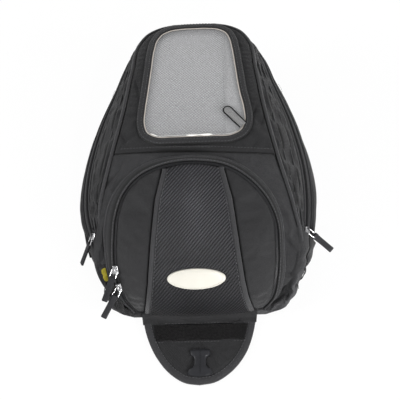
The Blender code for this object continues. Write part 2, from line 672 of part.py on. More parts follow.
def make_slider(name, point, along, normal, hang):
    """A slider's plate with an eye for the ring. Returns the eye's middle and the axis the ring turns on."""
    length, width, thick = SLIDER
    post, height, eye = POST
    work = bmesh.new()
    bmesh.ops.create_cube(work, size=1.0)
    bmesh.ops.scale(work, vec=(length, width, thick), verts=work.verts)
    bmesh.ops.translate(work, vec=(0.0, 0.0, thick / 2), verts=work.verts)
    top = max(work.faces, key=lambda face: face.calc_center_median().z)
    bmesh.ops.inset_region(work, faces=[top], thickness=(width - post) / 2)
    grown = bmesh.ops.extrude_face_region(work, geom=[top])
    raised = [item for item in grown["geom"] if isinstance(item, bmesh.types.BMVert)]
    bmesh.ops.translate(work, vec=(0.0, 0.0, height), verts=raised)
    bmesh.ops.delete(work, geom=[top], context="FACES_ONLY")
    for vertex in work.verts:
        if vertex.co.z > thick + height / 2:
            vertex.co.x *= 0.7
    bmesh.ops.transform(work, matrix=frame_of(point, along, normal), verts=work.verts)
    bmesh.ops.recalc_face_normals(work, faces=work.faces)
    mesh = bpy.data.meshes.new(name)
    work.to_mesh(mesh)
    work.free()
    body = add_object(name, mesh, "metal")
    normal = Vector(normal).normalized()
    axis = normal.cross(Vector(hang)).normalized()
    pivot = Vector(point) + normal * (thick + eye)
    cut(body, rod(name + "_eye", pivot, axis, EYE_R, 0.03))
    return pivot, axis


def rod(name, middle, axis, radius, length, sides=12):
    """A cylinder through the middle, along the axis."""
    matrix = frame_of(middle, axis, (0.31, 0.17, 0.93))
    turns = [2 * math.pi * k / sides for k in range(sides)]
    ends = (-length / 2, length / 2)
    vertices = [(x, radius * math.cos(a), radius * math.sin(a)) for x in ends for a in turns]
    faces = [tuple(range(sides)), tuple(range(sides, 2 * sides))]
    faces += [(i, (i + 1) % sides, sides + (i + 1) % sides, sides + i) for i in range(sides)]
    return placed(name, vertices, faces, matrix, "metal")


def make_pull(name, pivot, axis, hang):
    """The ring in the slider's eye and the rubber pull on it, which hangs from the pivot."""
    hang = Vector(hang).normalized()
    matrix = frame_of(pivot, axis, axis.cross(hang))
    width, length, wire = RING
    half, corner = width / 2, RING_CORNER
    loop = [(half - corner, 0.0), (half, corner), (half, length - corner), (half - corner, length),
            (corner - half, length), (-half, length - corner), (-half, corner), (corner - half, 0.0)]
    tube(name + "_ring", [matrix @ Vector((x, y, 0.0)) for x, y in loop], wire, "metal", closed=True)
    long, wide, thick = PULL
    half, across, back = wide / 2, *PULL_CORNERS
    start = length - PULL_OVERLAP
    end = start + long
    outline = [(half, start), (half, end - back), (half - across, end), (across - half, end),
               (-half, end - back), (-half, start)]
    count = len(outline)
    vertices = [(x, y, z) for z in (-thick / 2, thick / 2) for x, y in outline]
    faces = [tuple(range(count)), tuple(range(count, 2 * count))]
    faces += [(i, (i + 1) % count, count + (i + 1) % count, count + i) for i in range(count)]
    tab = placed(name + "_tab", vertices, faces, matrix, "rubber")
    cut(tab, rod(name + "_channel", pivot + hang * length, axis, EYE_R, 0.02))


def make_main_slider(side, from_rim):
    """A slider of the main zip, on the right or the left, and its pull."""
    def place(index, lift):
        point = band_line(index, band_width(index) - from_rim, lift)
        return Vector((point.x * side, point.y, point.z))

    name = "main_right" if side > 0 else "main_left"
    start, end = place(MAIN_SLIDER_AT, SLIDER_LIFT), place(MAIN_SLIDER_TO, SLIDER_LIFT)
    normal = place(MAIN_SLIDER_AT + 1, 1.0) - place(MAIN_SLIDER_AT + 1, 0.0)
    pivot, axis = make_slider(name + "_slider", start, end - start, normal, HANG[name])
    make_pull(name + "_pull", pivot, axis, HANG[name])
    return pivot, axis, end - start


def make_pocket_slider(name, at, to):
    """A slider of the pocket's zip and its pull."""
    path = pocket_path(POCKET_ZIP)

    def place(index, lift):
        return skin(path[index].x, path[index].y, POCKET_WALL_H + lift)

    start, end = place(at, SLIDER_LIFT), place(to, SLIDER_LIFT)
    normal = place(at, 1.0) - place(at, 0.0) + place(to, 1.0) - place(to, 0.0)
    pivot, axis = make_slider(name + "_slider", start, end - start, normal, HANG[name])
    make_pull(name + "_pull", pivot, axis, HANG[name])
    return pivot, axis, end - start


# Joints -------------------------------------------------------------------------------------------
COLLAR_PIECES = ("expansion_zip_collar_tape", "collar_band", "main_zip_collar_tape")
LID_PIECES = ("main_zip_lid_tape", "lid_side", "lid_piping", "lid_panel", "window_cutter", "map_backing",
              "map_film", "window_piping", "lid_lining", "map_pull_tab", "pocket_wall",
              "pocket_zip_wall_tape")
DOOR_PIECES = ("pocket_zip_door_tape", "pocket_door", "accent_panel", "accent_piping_right",
               "accent_piping_left", "badge")
FLAP_PIECES = ("flap_lower_sheet", "flap_upper_sheet", "flap_binding", "flap_magnet_right",
               "flap_magnet_left", "hook_strip", "strap_catch")


def joint_empty(name, location, children, parent=None):
    """An empty on a joint's axis that carries the joint's pieces, left where they are."""
    empty = bpy.data.objects.new(name, None)
    bpy.context.scene.collection.objects.link(empty)
    offset = Vector(location)
    if parent is not None:
        empty.parent = parent
        offset = offset - parent.matrix_world.translation
    empty.location = offset
    bpy.context.view_layer.update()
    for child in children:
        piece = bpy.data.objects[child]
        piece.parent = empty
        piece.matrix_parent_inverse = Matrix.Translation(-Vector(location))
    return empty


def slider_pieces(name):
    return [name + "_slider", name + "_slider_eye"]


def pull_pieces(name):
    return [name + "_pull_ring", name + "_pull_tab", name + "_pull_channel"]


def main():
    for old in list(bpy.data.objects):
        bpy.data.objects.remove(old)
    make_base()
    make_wall()
    from_rim = make_bands()
    make_lid()
    make_pocket()
    make_flap()
    pivots = {
        "main_right": make_main_slider(1, from_rim),
        "main_left": make_main_slider(-1, from_rim),
        "pocket_upper": make_pocket_slider("pocket_upper", POCKET_UPPER_AT, POCKET_UPPER_TO),
        "pocket_lower": make_pocket_slider("pocket_lower", POCKET_LOWER_AT, POCKET_LOWER_TO),
    }

    collar = joint_empty("collar_joint", LID_AXIS, COLLAR_PIECES)
    lid = joint_empty("lid_joint", LID_AXIS, LID_PIECES, collar)
    door = joint_empty("pocket_joint", POCKET_AXIS, DOOR_PIECES, lid)
    joint_empty("flap_joint", FLAP_AXIS, FLAP_PIECES)
    for name, (pivot, _, _) in pivots.items():
        parent = lid if name.startswith("main") else door
        slider = joint_empty(name + "_slide", pivot, slider_pieces(name), parent)
        joint_empty(name + "_swing", pivot, pull_pieces(name), slider)
    return pivots


main()
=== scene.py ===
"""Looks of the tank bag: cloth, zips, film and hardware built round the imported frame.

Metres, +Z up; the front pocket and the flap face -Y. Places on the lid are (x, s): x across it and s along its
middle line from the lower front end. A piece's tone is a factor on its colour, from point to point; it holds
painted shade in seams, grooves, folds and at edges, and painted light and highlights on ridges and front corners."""

import json
import math

import bmesh
import bpy
import numpy as np
from mathutils import Matrix, Vector, noise


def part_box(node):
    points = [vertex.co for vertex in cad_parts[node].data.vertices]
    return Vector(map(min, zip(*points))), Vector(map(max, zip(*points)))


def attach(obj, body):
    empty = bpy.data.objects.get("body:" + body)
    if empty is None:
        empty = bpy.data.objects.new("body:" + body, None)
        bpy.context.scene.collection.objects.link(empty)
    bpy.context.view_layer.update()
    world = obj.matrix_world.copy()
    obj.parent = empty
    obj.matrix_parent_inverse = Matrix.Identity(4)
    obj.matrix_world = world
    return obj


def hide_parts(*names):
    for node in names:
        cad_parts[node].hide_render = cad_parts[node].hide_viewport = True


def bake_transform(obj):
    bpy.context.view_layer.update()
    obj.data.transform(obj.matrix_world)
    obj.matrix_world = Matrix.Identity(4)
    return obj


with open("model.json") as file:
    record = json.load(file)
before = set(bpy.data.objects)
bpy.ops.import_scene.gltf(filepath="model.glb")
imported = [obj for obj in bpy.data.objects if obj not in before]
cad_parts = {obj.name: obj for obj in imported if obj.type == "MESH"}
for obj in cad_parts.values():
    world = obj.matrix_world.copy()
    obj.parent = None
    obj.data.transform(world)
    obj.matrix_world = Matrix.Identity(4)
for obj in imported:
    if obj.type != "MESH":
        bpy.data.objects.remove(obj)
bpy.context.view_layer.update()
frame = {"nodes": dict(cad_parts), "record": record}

# Control points, in millimetres
SPINE = ((-198, 8), (-192, 30), (-178, 58), (-150, 86), (-96, 120), (-38, 150), (60, 163), (150, 162),
         (207, 154))
# s and half width of the lid's edge, then x, y, z of the tub wall's rim, of its widest line and of its foot
STATIONS = (
    (0, 92, 94, -202, 8.8, 96, -203.5, 5.6, 94, -203, 3.6),
    (12, 112, 114.5, -199, 17, 116, -199, 10, 112, -196, 3.6),
    (34, 129, 129.5, -191, 35, 131, -189, 20, 124, -182, 3.6),
    (84, 146, 152, -150, 45, 151, -148, 31, 134, -150, 3.6),
    (158, 135, 163.5, -96, 68, 168, -90, 47, 148, -90, 3.6),
    (220, 118, 165, -40, 84, 171, -36, 55, 150, -40, 3.6),
    (312, 98, 147.5, 50, 102, 157, 50, 64, 134, 40, 3.6),
    (382, 88, 122, 120, 110, 134, 120, 66, 114, 110, 3.6),
    (438, 79, 102, 176, 112, 108, 180, 62, 94, 170, 3.6),
    (458, 66, 86, 200, 112, 90, 204, 60, 80, 192, 3.6),
    (468, 48, 60, 214, 112, 62, 217, 59, 56, 204, 3.6),
    (472, 30, 34, 219, 112, 34, 221, 58, 32, 208, 3.6),
)
# (x, s) round the map window's film and along the two arches of the front pocket, from the right to the left
FILM_EDGE = ((2, 463), (20, 462.8), (36, 460.5), (48, 453), (54.5, 440), (58.5, 420), (63.5, 378), (68.5, 337),
             (74.5, 305), (75.5, 285), (69.5, 269), (56, 260.5), (30, 258.8), (0, 258.7), (-30, 258.8),
             (-53, 260.5), (-66, 269), (-71, 285), (-70.5, 305), (-67.2, 337), (-63.5, 378), (-60, 420),
             (-56, 440), (-48, 453), (-35, 460.5), (-18, 462.8))
ZIP_ARCH = ((89, 4), (102, 23), (110.5, 60), (113, 98), (110.5, 138), (102, 161), (77, 193), (46, 212.5),
            (8, 219.5), (-24, 219), (-47, 214.5), (-78.5, 199.5), (-96.6, 179.1), (-107.5, 151),
            (-111.8, 116.6), (-113, 85), (-109, 50), (-101, 23), (-89, 4))
BASE_ARCH = ((96.5, 4), (110, 20), (120, 50), (122.5, 95), (119, 145), (110, 170), (85, 202), (52, 222.5),
             (8, 230.5), (-24, 230), (-50, 227), (-78, 216.5), (-101, 197.9), (-118, 173), (-127.5, 138),
             (-127, 90), (-121.5, 50), (-110, 20), (-96.5, 4))
# s and half the width between the carbon-look panel's seams; the flap's and the catch's right-hand edges
SEAM_HALF = ((4, 79), (60, 68), (116, 60.8), (170, 54), (208, 44))
FLAP = ((81, -207.5), (79.5, -218), (72, -245), (60, -270), (40, -295), (20, -308), (0, -311.5))
CATCH = ((0, -259.2), (10.5, -259.8), (13.4, -261.2), (14, -265), (12.8, -269), (9.2, -270.8), (8, -274),
         (8.2, -283), (10.5, -286.8), (15.2, -289.2), (17.2, -293.5), (16.8, -297.2), (10, -299), (0, -299.6))

UP = np.array([0.0, 0.0, 1.0])
FLIP = np.array([-1.0, 1.0, 1.0])
SIDES = ((1, "right"), (-1, "left"))
PER = 12                        # steps from one station to the next
FIRST = PER * 4 + PER // 3      # ring index where the zips and the collar start
CROWN, CROWN_HALF = 0.012, 0.13
CREST_MIDDLE, CREST_SLOPE = 0.2378, -0.035
FRAME_WIDTH = 0.0095            # the padded frame round the map window
POCKET_TOP, POCKET_LIFT = 0.2195, 0.006
LEFT_PULL, LEFT_Y, LEFT_LONG = 0.0150, -0.148, 0.046        # how far and where the left front corner is
RIGHT_PULL, RIGHT_Y, RIGHT_LONG = 0.0030, -0.165, 0.028     # drawn in, and the right one
SIDE_SEAMS = (0.30, 0.66)       # the side panel's corded seams, as shares of its height
SEAM_Y = 0.118                  # the tub wall's two upright seams
WALL_T, SHEET = 0.0030, 0.0020
TOOTH, TOOTH_PITCH = (0.0026, 0.0013, 0.0013), 0.0017
TUB_CENTRE, CORNER_CENTRE = (0, 0, 0.03), (0, -0.05, 0)
CORNER_BLEND = ("collar", "lid", (0, -0.150, 0.0466), (0, -0.1584, 0.0653))


# Curves and surfaces
def mm(values):
    return np.array(values, float) / 1000


def unit(v):
    return v / np.maximum(np.linalg.norm(v, axis=-1, keepdims=True), 1e-12)


def smooth(x, low, high):
    t = np.clip((x - low) / (high - low), 0, 1)
    return t * t * (3 - 2 * t)


def rise(d, width):
    """A rounded rise from 0 at d = 0 to 1 at d = width."""
    t = np.clip(d / width, 0, 1)
    return np.sqrt(np.maximum(0, 1 - (1 - t) ** 2))


def bell(d, width, power=2):
    return np.exp(-((d / width) ** power))


def hermite(points, per, closed=False):
    """A smooth curve through the points, with per steps from each to the next."""
    p = np.array(points, float)
    count = len(p)
    if closed:
        p = np.concatenate([p[-2:], p, p[:3]])
    steps = np.linalg.norm(np.diff(p, axis=0), axis=1)
    slopes = np.diff(p, axis=0) / steps[:, None]
    share = (steps[:-1] / (steps[:-1] + steps[1:]))[:, None]
    tangent = np.concatenate([slopes[:1], slopes[:-1] * (1 - share) + slopes[1:] * share, slopes[-1:]])
    t = (np.arange(per) / per)[None, :, None]
    a, b, ta, tb = p[:-1, None], p[1:, None], tangent[:-1, None], tangent[1:, None]
    length = steps[:, None, None]
    curve = (a * (2 * t**3 - 3 * t**2 + 1) + b * (3 * t**2 - 2 * t**3)
             + ta * length * (t**3 - 2 * t**2 + t) + tb * length * (t**3 - t**2))
    if closed:
        return curve[2 : 2 + count].reshape(-1, p.shape[1])
    return np.concatenate([curve.reshape(-1, p.shape[1]), p[-1:]])


def lengths(path):
    """Distances along the path to each of its points."""
    return np.concatenate([[0.0], np.cumsum(np.linalg.norm(np.diff(path, axis=0), axis=1))])


def looked_up(want, at, rows):
    """Each column of rows, known at the places at, interpolated at the places want."""
    return np.stack([np.interp(want, at, column) for column in np.transpose(rows)], -1)


def evenly(path, count, closed=False):
    """The path again with count points at equal distances."""
    path = np.asarray(path, float)
    if closed:
        path = np.concatenate([path, path[:1]])
    at = lengths(path)
    return looked_up(np.linspace(0, at[-1], count + closed)[:count], at, path)


def between(a, b, shares):
    """Rows of points at these shares of the way from a to b."""
    return a + (b - a) * np.reshape(shares, (-1, 1, 1))


spine = hermite(mm(SPINE), 60)
spine_s = lengths(spine)
spine_along = unit(np.gradient(spine, spine_s, axis=0))


def skin(x, s, lift=0.0):
    """The lid's surface at (x, s), raised by lift."""
    x, s, lift = (np.asarray(a, float) for a in np.broadcast_arrays(x, s, lift))
    over = s - np.clip(s, 0, spine_s[-1])
    y, z, ay, az = (np.interp(s, spine_s, column) for column in (*spine.T, *spine_along.T))
    crown = CROWN * (np.abs(x) / CROWN_HALF) ** 2.4 * (0.45 + 0.55 * np.clip(s / 0.2, 0, 1))
    off = lift - crown
    return np.stack([x, y + ay * over - az * off, z + az * over + ay * off], -1)


def on_lid(places, lift=0.0):
    """skin() for places given as (x, s)."""
    return skin(places[..., 0], places[..., 1], lift)


def ring(p):
    """Half of a ring from x = 0 at the front to x = 0 at the rear, through the points of the stations."""
    first, last = p[0] * [0, 1, 1], p[-1] * [0, 1, 1]
    k = (np.arange(PER) / PER)[:, None]
    return np.concatenate([first + (p[0] - first) * k, hermite(p, PER),
                           p[-1] + (last - p[-1]) * (k + 1 / PER)])


stations = mm(STATIONS)
edge_table = hermite(stations[:, :2], PER)
EDGE = ring(skin(stations[:, 1], stations[:, 0]))
RIM, WIDE, FOOT = (ring(stations[:, k : k + 3]) for k in (2, 5, 8))
WIDE[:, 0] -= np.minimum(0.0042, WIDE[:, 0]) * np.clip((WIDE[:, 1] + 0.06) / 0.10, 0, 1)
LOW_RIM = RIM - [0, 0, 0.0022]
DOWN = unit(RIM - EDGE)
OUT = unit(np.cross(unit(np.gradient(EDGE, axis=0)), DOWN))
OUT *= np.where(OUT[:, :1] * EDGE[:, :1] + OUT[:, 2:] + OUT[:, 1:2] * np.sign(EDGE[:, 1:2]) * 0.3 < 0, -1, 1)
BAND = np.linalg.norm(RIM - EDGE, axis=1)


def half_width(s):
    return np.interp(s, edge_table[:, 0], edge_table[:, 1])


def both_sides(half):
    """A half ring's rows from FIRST to the rear, then back down the left-hand side."""
    return np.concatenate([half[FIRST:], (half[FIRST:-1] * (FLIP if half.ndim > 1 else 1))[::-1]])


U_EDGE, U_DOWN, U_OUT, U_BAND = (both_sides(half) for half in (EDGE, DOWN, OUT, BAND))


def band(distance, lift=0.0):
    """A line round the sides and the rear: distance down from the lid's edge, lift proud of the band."""
    distance, lift = (np.broadcast_to(a, U_BAND.shape)[:, None] for a in (distance, lift))
    return U_EDGE + U_DOWN * distance + U_OUT * lift


def loop_of(half):
    """The whole ring: the half ring and its mirror image."""
    return np.concatenate([half, (half[1:-1] * FLIP)[::-1]])


def grid_normals(grid, closed=False):
    wide = np.concatenate([grid[:, -1:], grid, grid[:, :1]], 1) if closed else grid
    across = np.gradient(wide, axis=1)
    return unit(np.cross(across[:, 1:-1] if closed else across, np.gradient(grid, axis=0)))


def outward_normals(grid, closed=False, centre=(0, 0, 0)):
    normals = grid_normals(grid, closed)
    return normals * np.sign(np.sum(normals * (grid - np.array(centre)), -1, keepdims=True))


def facing(grid, up):
    """1 if the grid's own normals run with up, or else -1."""
    return 1 if np.mean(np.sum(grid_normals(grid) * up, -1)) > 0 else -1


def grid_uv(grid):
    """Distances in metres along the middle row and the middle column, as texture coordinates."""
    u = np.cumsum(np.linalg.norm(np.diff(grid, axis=1, prepend=grid[:, :1]), axis=2), axis=1)
    v = np.cumsum(np.linalg.norm(np.diff(grid, axis=0, prepend=grid[:1]), axis=2), axis=0)
    return np.stack(np.broadcast_arrays(u[len(u) // 2][None], v[:, v.shape[1] // 2][:, None]), -1)


def bumps(points, scale, seed, stretch=(1, 1, 1)):
    """Smooth noise from -1 to 1 at the points, scale waves to the metre."""
    points = np.asarray(points)
    if points.shape[-1] == 2:
        points = np.concatenate([points, points[..., :1] * 0], -1)
    flat = points.reshape(-1, 3) * scale * np.array(stretch) + seed * 7.13
    return np.array([noise.noise(p) for p in flat.tolist()]).reshape(points.shape[:-1])


# Meshes
def mesh_object(name, vertices, faces, look, uv, tone=1.0, sharp=40):
    mesh = bpy.data.meshes.new(name)
    mesh.from_pydata(np.asarray(vertices, float).tolist(), [], faces)
    obj = bpy.data.objects.new(name, mesh)
    bpy.context.scene.collection.objects.link(obj)
    mesh.materials.append(look)
    mesh.shade_smooth()
    mesh.set_sharp_from_angle(angle=math.radians(sharp))
    index = np.empty(len(mesh.loops), int)
    mesh.loops.foreach_get("vertex_index", index)
    mesh.uv_layers.new(name="UVMap").data.foreach_set("uv", np.asarray(uv, float)[index].ravel())
    set_tone(mesh, tone)
    mesh.update()
    return obj


def set_tone(mesh, tone):
    values = np.broadcast_to(tone, len(mesh.vertices)).astype(np.float32)
    mesh.attributes.new("tone", "FLOAT", "POINT").data.foreach_set("value", values)


def outward(obj):
    """Turns a closed mesh's faces outwards."""
    work = bmesh.new()
    work.from_mesh(obj.data)
    bmesh.ops.recalc_face_normals(work, faces=work.faces)
    work.to_mesh(obj.data)
    work.free()
    return obj


def numbered(rows, columns, closed=False, looped=False):
    """A grid's point numbers, with the first column again at the end if closed, and the first row if looped."""
    index = np.arange(rows * columns).reshape(rows, columns)
    index = np.concatenate([index, index[:, :1]], 1) if closed else index
    return np.concatenate([index, index[:1]]) if looped else index


def quads(index):
    """The faces between neighbouring points of a numbered grid."""
    return np.stack([index[:-1, :-1], index[:-1, 1:], index[1:, 1:], index[1:, :-1]], -1).reshape(-1, 4)


def shell(name, outer, thickness, look, up=UP, closed=False, uv=None, tone=1.0, inner=None, sharp=60):
    """A sheet with thickness behind a grid of points; up is roughly the way that the grid's outside faces."""
    if inner is None:
        inner = outer - grid_normals(outer, closed) * facing(outer, up) * thickness
    layer = outer.shape[0] * outer.shape[1]
    index = numbered(*outer.shape[:2], closed)
    front = quads(index)
    faces = front.tolist() + (front[:, ::-1] + layer).tolist()
    for line in [index[0], index[-1]] + ([] if closed else [index[:, 0], index[:, -1]]):
        faces += np.stack([line[:-1], line[1:], line[1:] + layer, line[:-1] + layer], -1).tolist()
    uv = grid_uv(outer) if uv is None else uv
    tone = np.broadcast_to(tone, outer.shape[:2]).ravel()
    return outward(mesh_object(name, np.concatenate([outer.reshape(-1, 3), inner.reshape(-1, 3)]), faces, look,
                               np.concatenate([uv.reshape(-1, 2)] * 2), np.concatenate([tone] * 2), sharp))


def tube(name, rings, look, uv, looped=False, sharp=50):
    """A closed body through the rings of points; looped joins the last ring to the first."""
    index = numbered(*rings.shape[:2], True, looped)
    faces = quads(index).tolist()
    if not looped:
        faces += [index[0, :-1].tolist(), index[-1, :-1].tolist()]
    return outward(mesh_object(name, rings.reshape(-1, 3), faces, look, uv, sharp=sharp))


def sweep(name, path, section, look, up=UP, closed=False, scale=1.0):
    """A section, (across, up) points, swept along the path. up gives the section's up at each point."""
    path = np.asarray(path, float)
    section = np.asarray(section, float)
    wide = np.concatenate([path[-1:], path, path[:1]]) if closed else path
    along = unit(np.gradient(wide, axis=0))
    along = along[1:-1] if closed else along
    across = unit(np.cross(along, np.broadcast_to(up, path.shape)))
    up = np.cross(across, along)
    size = np.broadcast_to(scale, len(path))[:, None, None]
    rings = path[:, None] + across[:, None] * section[:, :1] * size + up[:, None] * section[:, 1:] * size
    uv = np.stack(np.broadcast_arrays(lengths(path)[:, None], lengths(section)), -1).reshape(-1, 2)
    return tube(name, rings, look, uv, closed)


def round_section(width, height=None, sides=12):
    a = np.arange(sides) / sides * 2 * math.pi
    return np.stack([np.cos(a) * width, np.sin(a) * (height or width)], -1)


def placed(points, origin, axes):
    """The points, given along the axes from the origin, in the frame."""
    points = np.asarray(points, float)
    return origin + sum(points[..., k : k + 1] * axis for k, axis in enumerate(axes))


def pebbles(name, size, centres, axes, look):
    """Many small rounded bodies in one mesh; size is each one's length, width and height along the axes."""
    cuts, profile = 6, ((-0.5, 0.35), (-0.36, 0.9), (0.0, 1.0), (0.36, 0.9), (0.5, 0.35))
    turns = 2 * math.pi * np.arange(cuts) / cuts
    form = [(t * size[0], math.cos(a) * size[1] / 2 * r, math.sin(a) * size[2] / 2 * r)
            for t, r in profile for a in turns]
    index = numbered(len(profile), cuts, True)
    faces = quads(index).tolist() + [index[0, :-1][::-1].tolist(), index[-1, :-1].tolist()]
    flat = placed(form, centres[:, None], [axis[:, None] for axis in axes]).reshape(-1, 3)
    every = [[v + k * len(form) for v in face] for k in range(len(centres)) for face in faces]
    return mesh_object(name, flat, every, look, flat[:, :2], sharp=35)


# Materials
def add(tree, kind, out=0, settings=None, **inputs):
    """An output of a new node. Inputs are values or sockets, by socket name with _ for a space, or i0, i1."""
    node = tree.nodes.new("ShaderNode" + kind)
    for key, value in (settings or {}).items():
        setattr(node, key, value)
    for key, value in inputs.items():
        socket = node.inputs[int(key[1:]) if key[1:].isdigit() else key.replace("_", " ")]
        if isinstance(value, bpy.types.NodeSocket):
            tree.links.new(value, socket)
        else:
            socket.default_value = value
    return node.outputs[out]


def math_node(tree, operation, a, b=0.0):
    return add(tree, "Math", 0, {"operation": operation}, i0=a, i1=b)


def product(tree, a, b):
    return math_node(tree, "MULTIPLY", a, b)


def uv_waves(tree, pitch, turn, pitch_v):
    """sin along u and v of the texture coordinates in metres, turned and scaled to the pitch."""
    uv = add(tree, "UVMap", 0, {"uv_map": "UVMap"})
    turned = add(tree, "Mapping", Vector=uv, Rotation=(0, 0, turn))
    scaled = add(tree, "Mapping", Vector=turned, Scale=(math.pi / pitch, math.pi / (pitch_v or pitch), 1))
    parts = add(tree, "SeparateXYZ", Vector=scaled).node
    return [math_node(tree, "SINE", parts.outputs[k]) for k in (0, 1)]


def material(name, colour, rough, noises, mottle, build, bump, sockets):
    """The nodes that every look shares. build gives the colour's factor and the height of the relief."""
    mat = bpy.data.materials.new(name)
    mat.use_nodes = True
    tree = mat.node_tree
    shader = tree.nodes["Principled BSDF"]
    place = add(tree, "TexCoord", "Object")
    broad, fine = (add(tree, "TexNoise", Vector=place, Scale=scale, Detail=detail) for scale, detail in noises)
    shade = add(tree, "MapRange", Value=broad, To_Min=1 - mottle, To_Max=1 + mottle)
    tone = add(tree, "Attribute", "Fac", {"attribute_name": "tone"})
    factor, height = build(tree, fine, shade, tone)
    for socket, value in (
        ("Base Color", add(tree, "VectorMath", 0, {"operation": "SCALE"}, i0=colour, Scale=factor)),
        ("Roughness", add(tree, "MapRange", Value=broad, To_Min=rough[0], To_Max=rough[1])),
        ("Normal", add(tree, "Bump", Strength=bump[0], Distance=bump[1], Height=height)),
    ):
        tree.links.new(value, shader.inputs[socket])
    for socket, value in sockets.items():
        shader.inputs[socket].default_value = value
    return mat


def cloth(name, colour, rough=0.85, sheen=0.12, pitch=0.0011, relief=0.8, mottle=0.16, kind="plain", turn=0.0,
          pitch_v=None, contrast=0.25, grain=900.0, spec=0.12, speckle=1.4):
    """Woven cloth: a colour that varies, a weave in its relief and a thread shade in its colour."""
    def build(tree, fine, shade, tone):
        weave, v = uv_waves(tree, pitch, turn, pitch_v)
        if kind == "plain":
            weave = product(tree, weave, v)
        elif kind == "ribs":
            weave = math_node(tree, "ADD", weave, product(tree, product(tree, weave, v), 0.55))
        threads = add(tree, "MapRange", Value=weave, From_Min=-1.0, From_Max=1.0, To_Min=1 - contrast,
                      To_Max=1 + contrast)
        grainy = add(tree, "MapRange", Value=fine, From_Min=0.5 - 0.5 / speckle, From_Max=0.5 + 0.5 / speckle,
                     To_Min=0.45, To_Max=1.55)
        factor = product(tree, product(tree, shade, threads), product(tree, grainy, tone))
        return factor, math_node(tree, "ADD", weave, product(tree, fine, 0.8))

    return material(name, colour, (rough - 0.08, min(1.0, rough + 0.08)), ((26.0, 4.0), (grain, 2.0)), mottle,
                    build, (relief, 0.0004),
                    {"Sheen Weight": sheen, "Sheen Roughness": 0.45, "Specular IOR Level": spec})


def solid(name, colour, rough, metallic=0.0, relief=0.1, grain=600.0, spec=0.5, coat=0.0, mottle=0.1,
          depth=0.0003):
    """Rubber, plastic, metal or foam: mottled colour, grain in its relief, uneven gloss."""
    return material(name, colour, (max(0.02, rough - 0.06), rough + 0.06), ((60.0, 5.0), (grain, 3.0)), mottle,
                    lambda tree, fine, shade, tone: (product(tree, shade, tone), fine), (relief, depth),
                    {"Metallic": metallic, "Specular IOR Level": spec, "Coat Weight": coat})


BLACK = (0.019, 0.019, 0.020)
ballistic = cloth("ballistic", BLACK, mottle=0.26)
smooth_cloth = cloth("smooth_cloth", BLACK, 0.7, 0.14, 0.0007, 0.4)
piping_cloth = cloth("piping_cloth", (0.030, 0.030, 0.032), 0.6, 0.2, 0.0007, 0.4)
dark_cloth = cloth("dark_cloth", (0.006, 0.006, 0.0065), 0.9, 0.05)
tape_cloth = cloth("tape_cloth", (0.008, 0.008, 0.0085), pitch=0.0008, pitch_v=0.0016)
lining_cloth = cloth("lining_cloth", (0.075, 0.075, 0.08), 0.7, 0.25, 0.0005, 0.15)
carbon_cloth = cloth("carbon_cloth", (0.0205, 0.0205, 0.0230), 0.42, 0.04, 0.0018, 1.0, 0.42, "ribs",
                     math.radians(44), 0.0030, 0.85, spec=0.15)
mesh_cloth = cloth("mesh_cloth", (0.37, 0.37, 0.375), 0.8, 0.0, 0.0023, 0.5, 0.05, turn=math.radians(4),
                   contrast=0.34)
strip_cloth = cloth("strip_cloth", (0.40, 0.40, 0.405), 0.7, 0.05, 0.0008, 0.2, 0.05, contrast=0.05)
thread = cloth("thread", (0.085, 0.085, 0.09), 0.6, 0.1, 0.0005, 0.4, kind="line")
fuzz = cloth("fuzz", (0.0068, 0.0065, 0.0068), 0.95, 0.06, 0.0013, 1.0, 0.3, contrast=0.4, grain=380.0,
             speckle=5.0)
label_black = cloth("label_black", (0.014, 0.014, 0.015), 0.75, pitch=0.0006, relief=0.3, kind="line")
label_yellow = cloth("label_yellow", (0.26, 0.22, 0.02), 0.75, pitch=0.0006, relief=0.3, kind="line")
tab_cloth = cloth("tab_cloth", (0.19, 0.19, 0.19), 0.7, pitch=0.0013, relief=0.7, contrast=0.45)
film_rim = solid("film_rim", (0.40, 0.365, 0.33), 0.22, relief=0.05, spec=0.8)
# pale colour of the cord on the film's curled lower edge: painted glints
film_fold = solid("film_fold", (0.80, 0.78, 0.75), 0.2, relief=0.05, spec=0.8)
coil_plastic = solid("coil_plastic", (0.018, 0.018, 0.02), 0.38)
rubber = solid("rubber", (0.015, 0.015, 0.016), 0.72, relief=0.5, grain=1500.0, spec=0.2)
pull_rubber = solid("pull_rubber", (0.017, 0.017, 0.019), 0.6, relief=0.35, grain=1200.0, spec=0.14)
plastic = solid("plastic", (0.016, 0.0165, 0.019), 0.36, relief=0.2, grain=1400.0, spec=0.35)
nickel = solid("nickel", (0.62, 0.62, 0.63), 0.22, 1.0, 0.05, mottle=0.06)
magnet_plate = solid("magnet_plate", (0.40, 0.40, 0.42), 0.35, 1.0)
board_sheet = solid("board_sheet", (0.05, 0.05, 0.05), 0.55, relief=0.3, grain=300.0)
foam_sheet = solid("foam_sheet", (0.09, 0.09, 0.095), 0.95, relief=1.0, grain=500.0, spec=0.1)
emblem = solid("emblem", (0.50, 0.485, 0.435), 0.35, relief=0.05, mottle=0.06, coat=0.2)
# clear film: mostly see-through, glossy, a little milky and uneven
film = solid("film", (0.40, 0.405, 0.415), 0.16, 0.0, 0.05, 40.0, 0.9, 1.0, 0.03, 0.002)
film_shader = film.node_tree.nodes["Principled BSDF"]
film_shader.inputs["Coat Roughness"].default_value = 0.09
film_shader.inputs["Alpha"].default_value = 0.20


# Pieces
def piece(obj, body, nodes=(), blend=None):
    """Sets what a finished piece rides on, or with blend leaves it fixed where it is, and hides the frame's parts
    that it stands for.
    """
    if blend:
        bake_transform(obj)
    else:
        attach(obj, body)
    if nodes:
        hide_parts(*nodes)


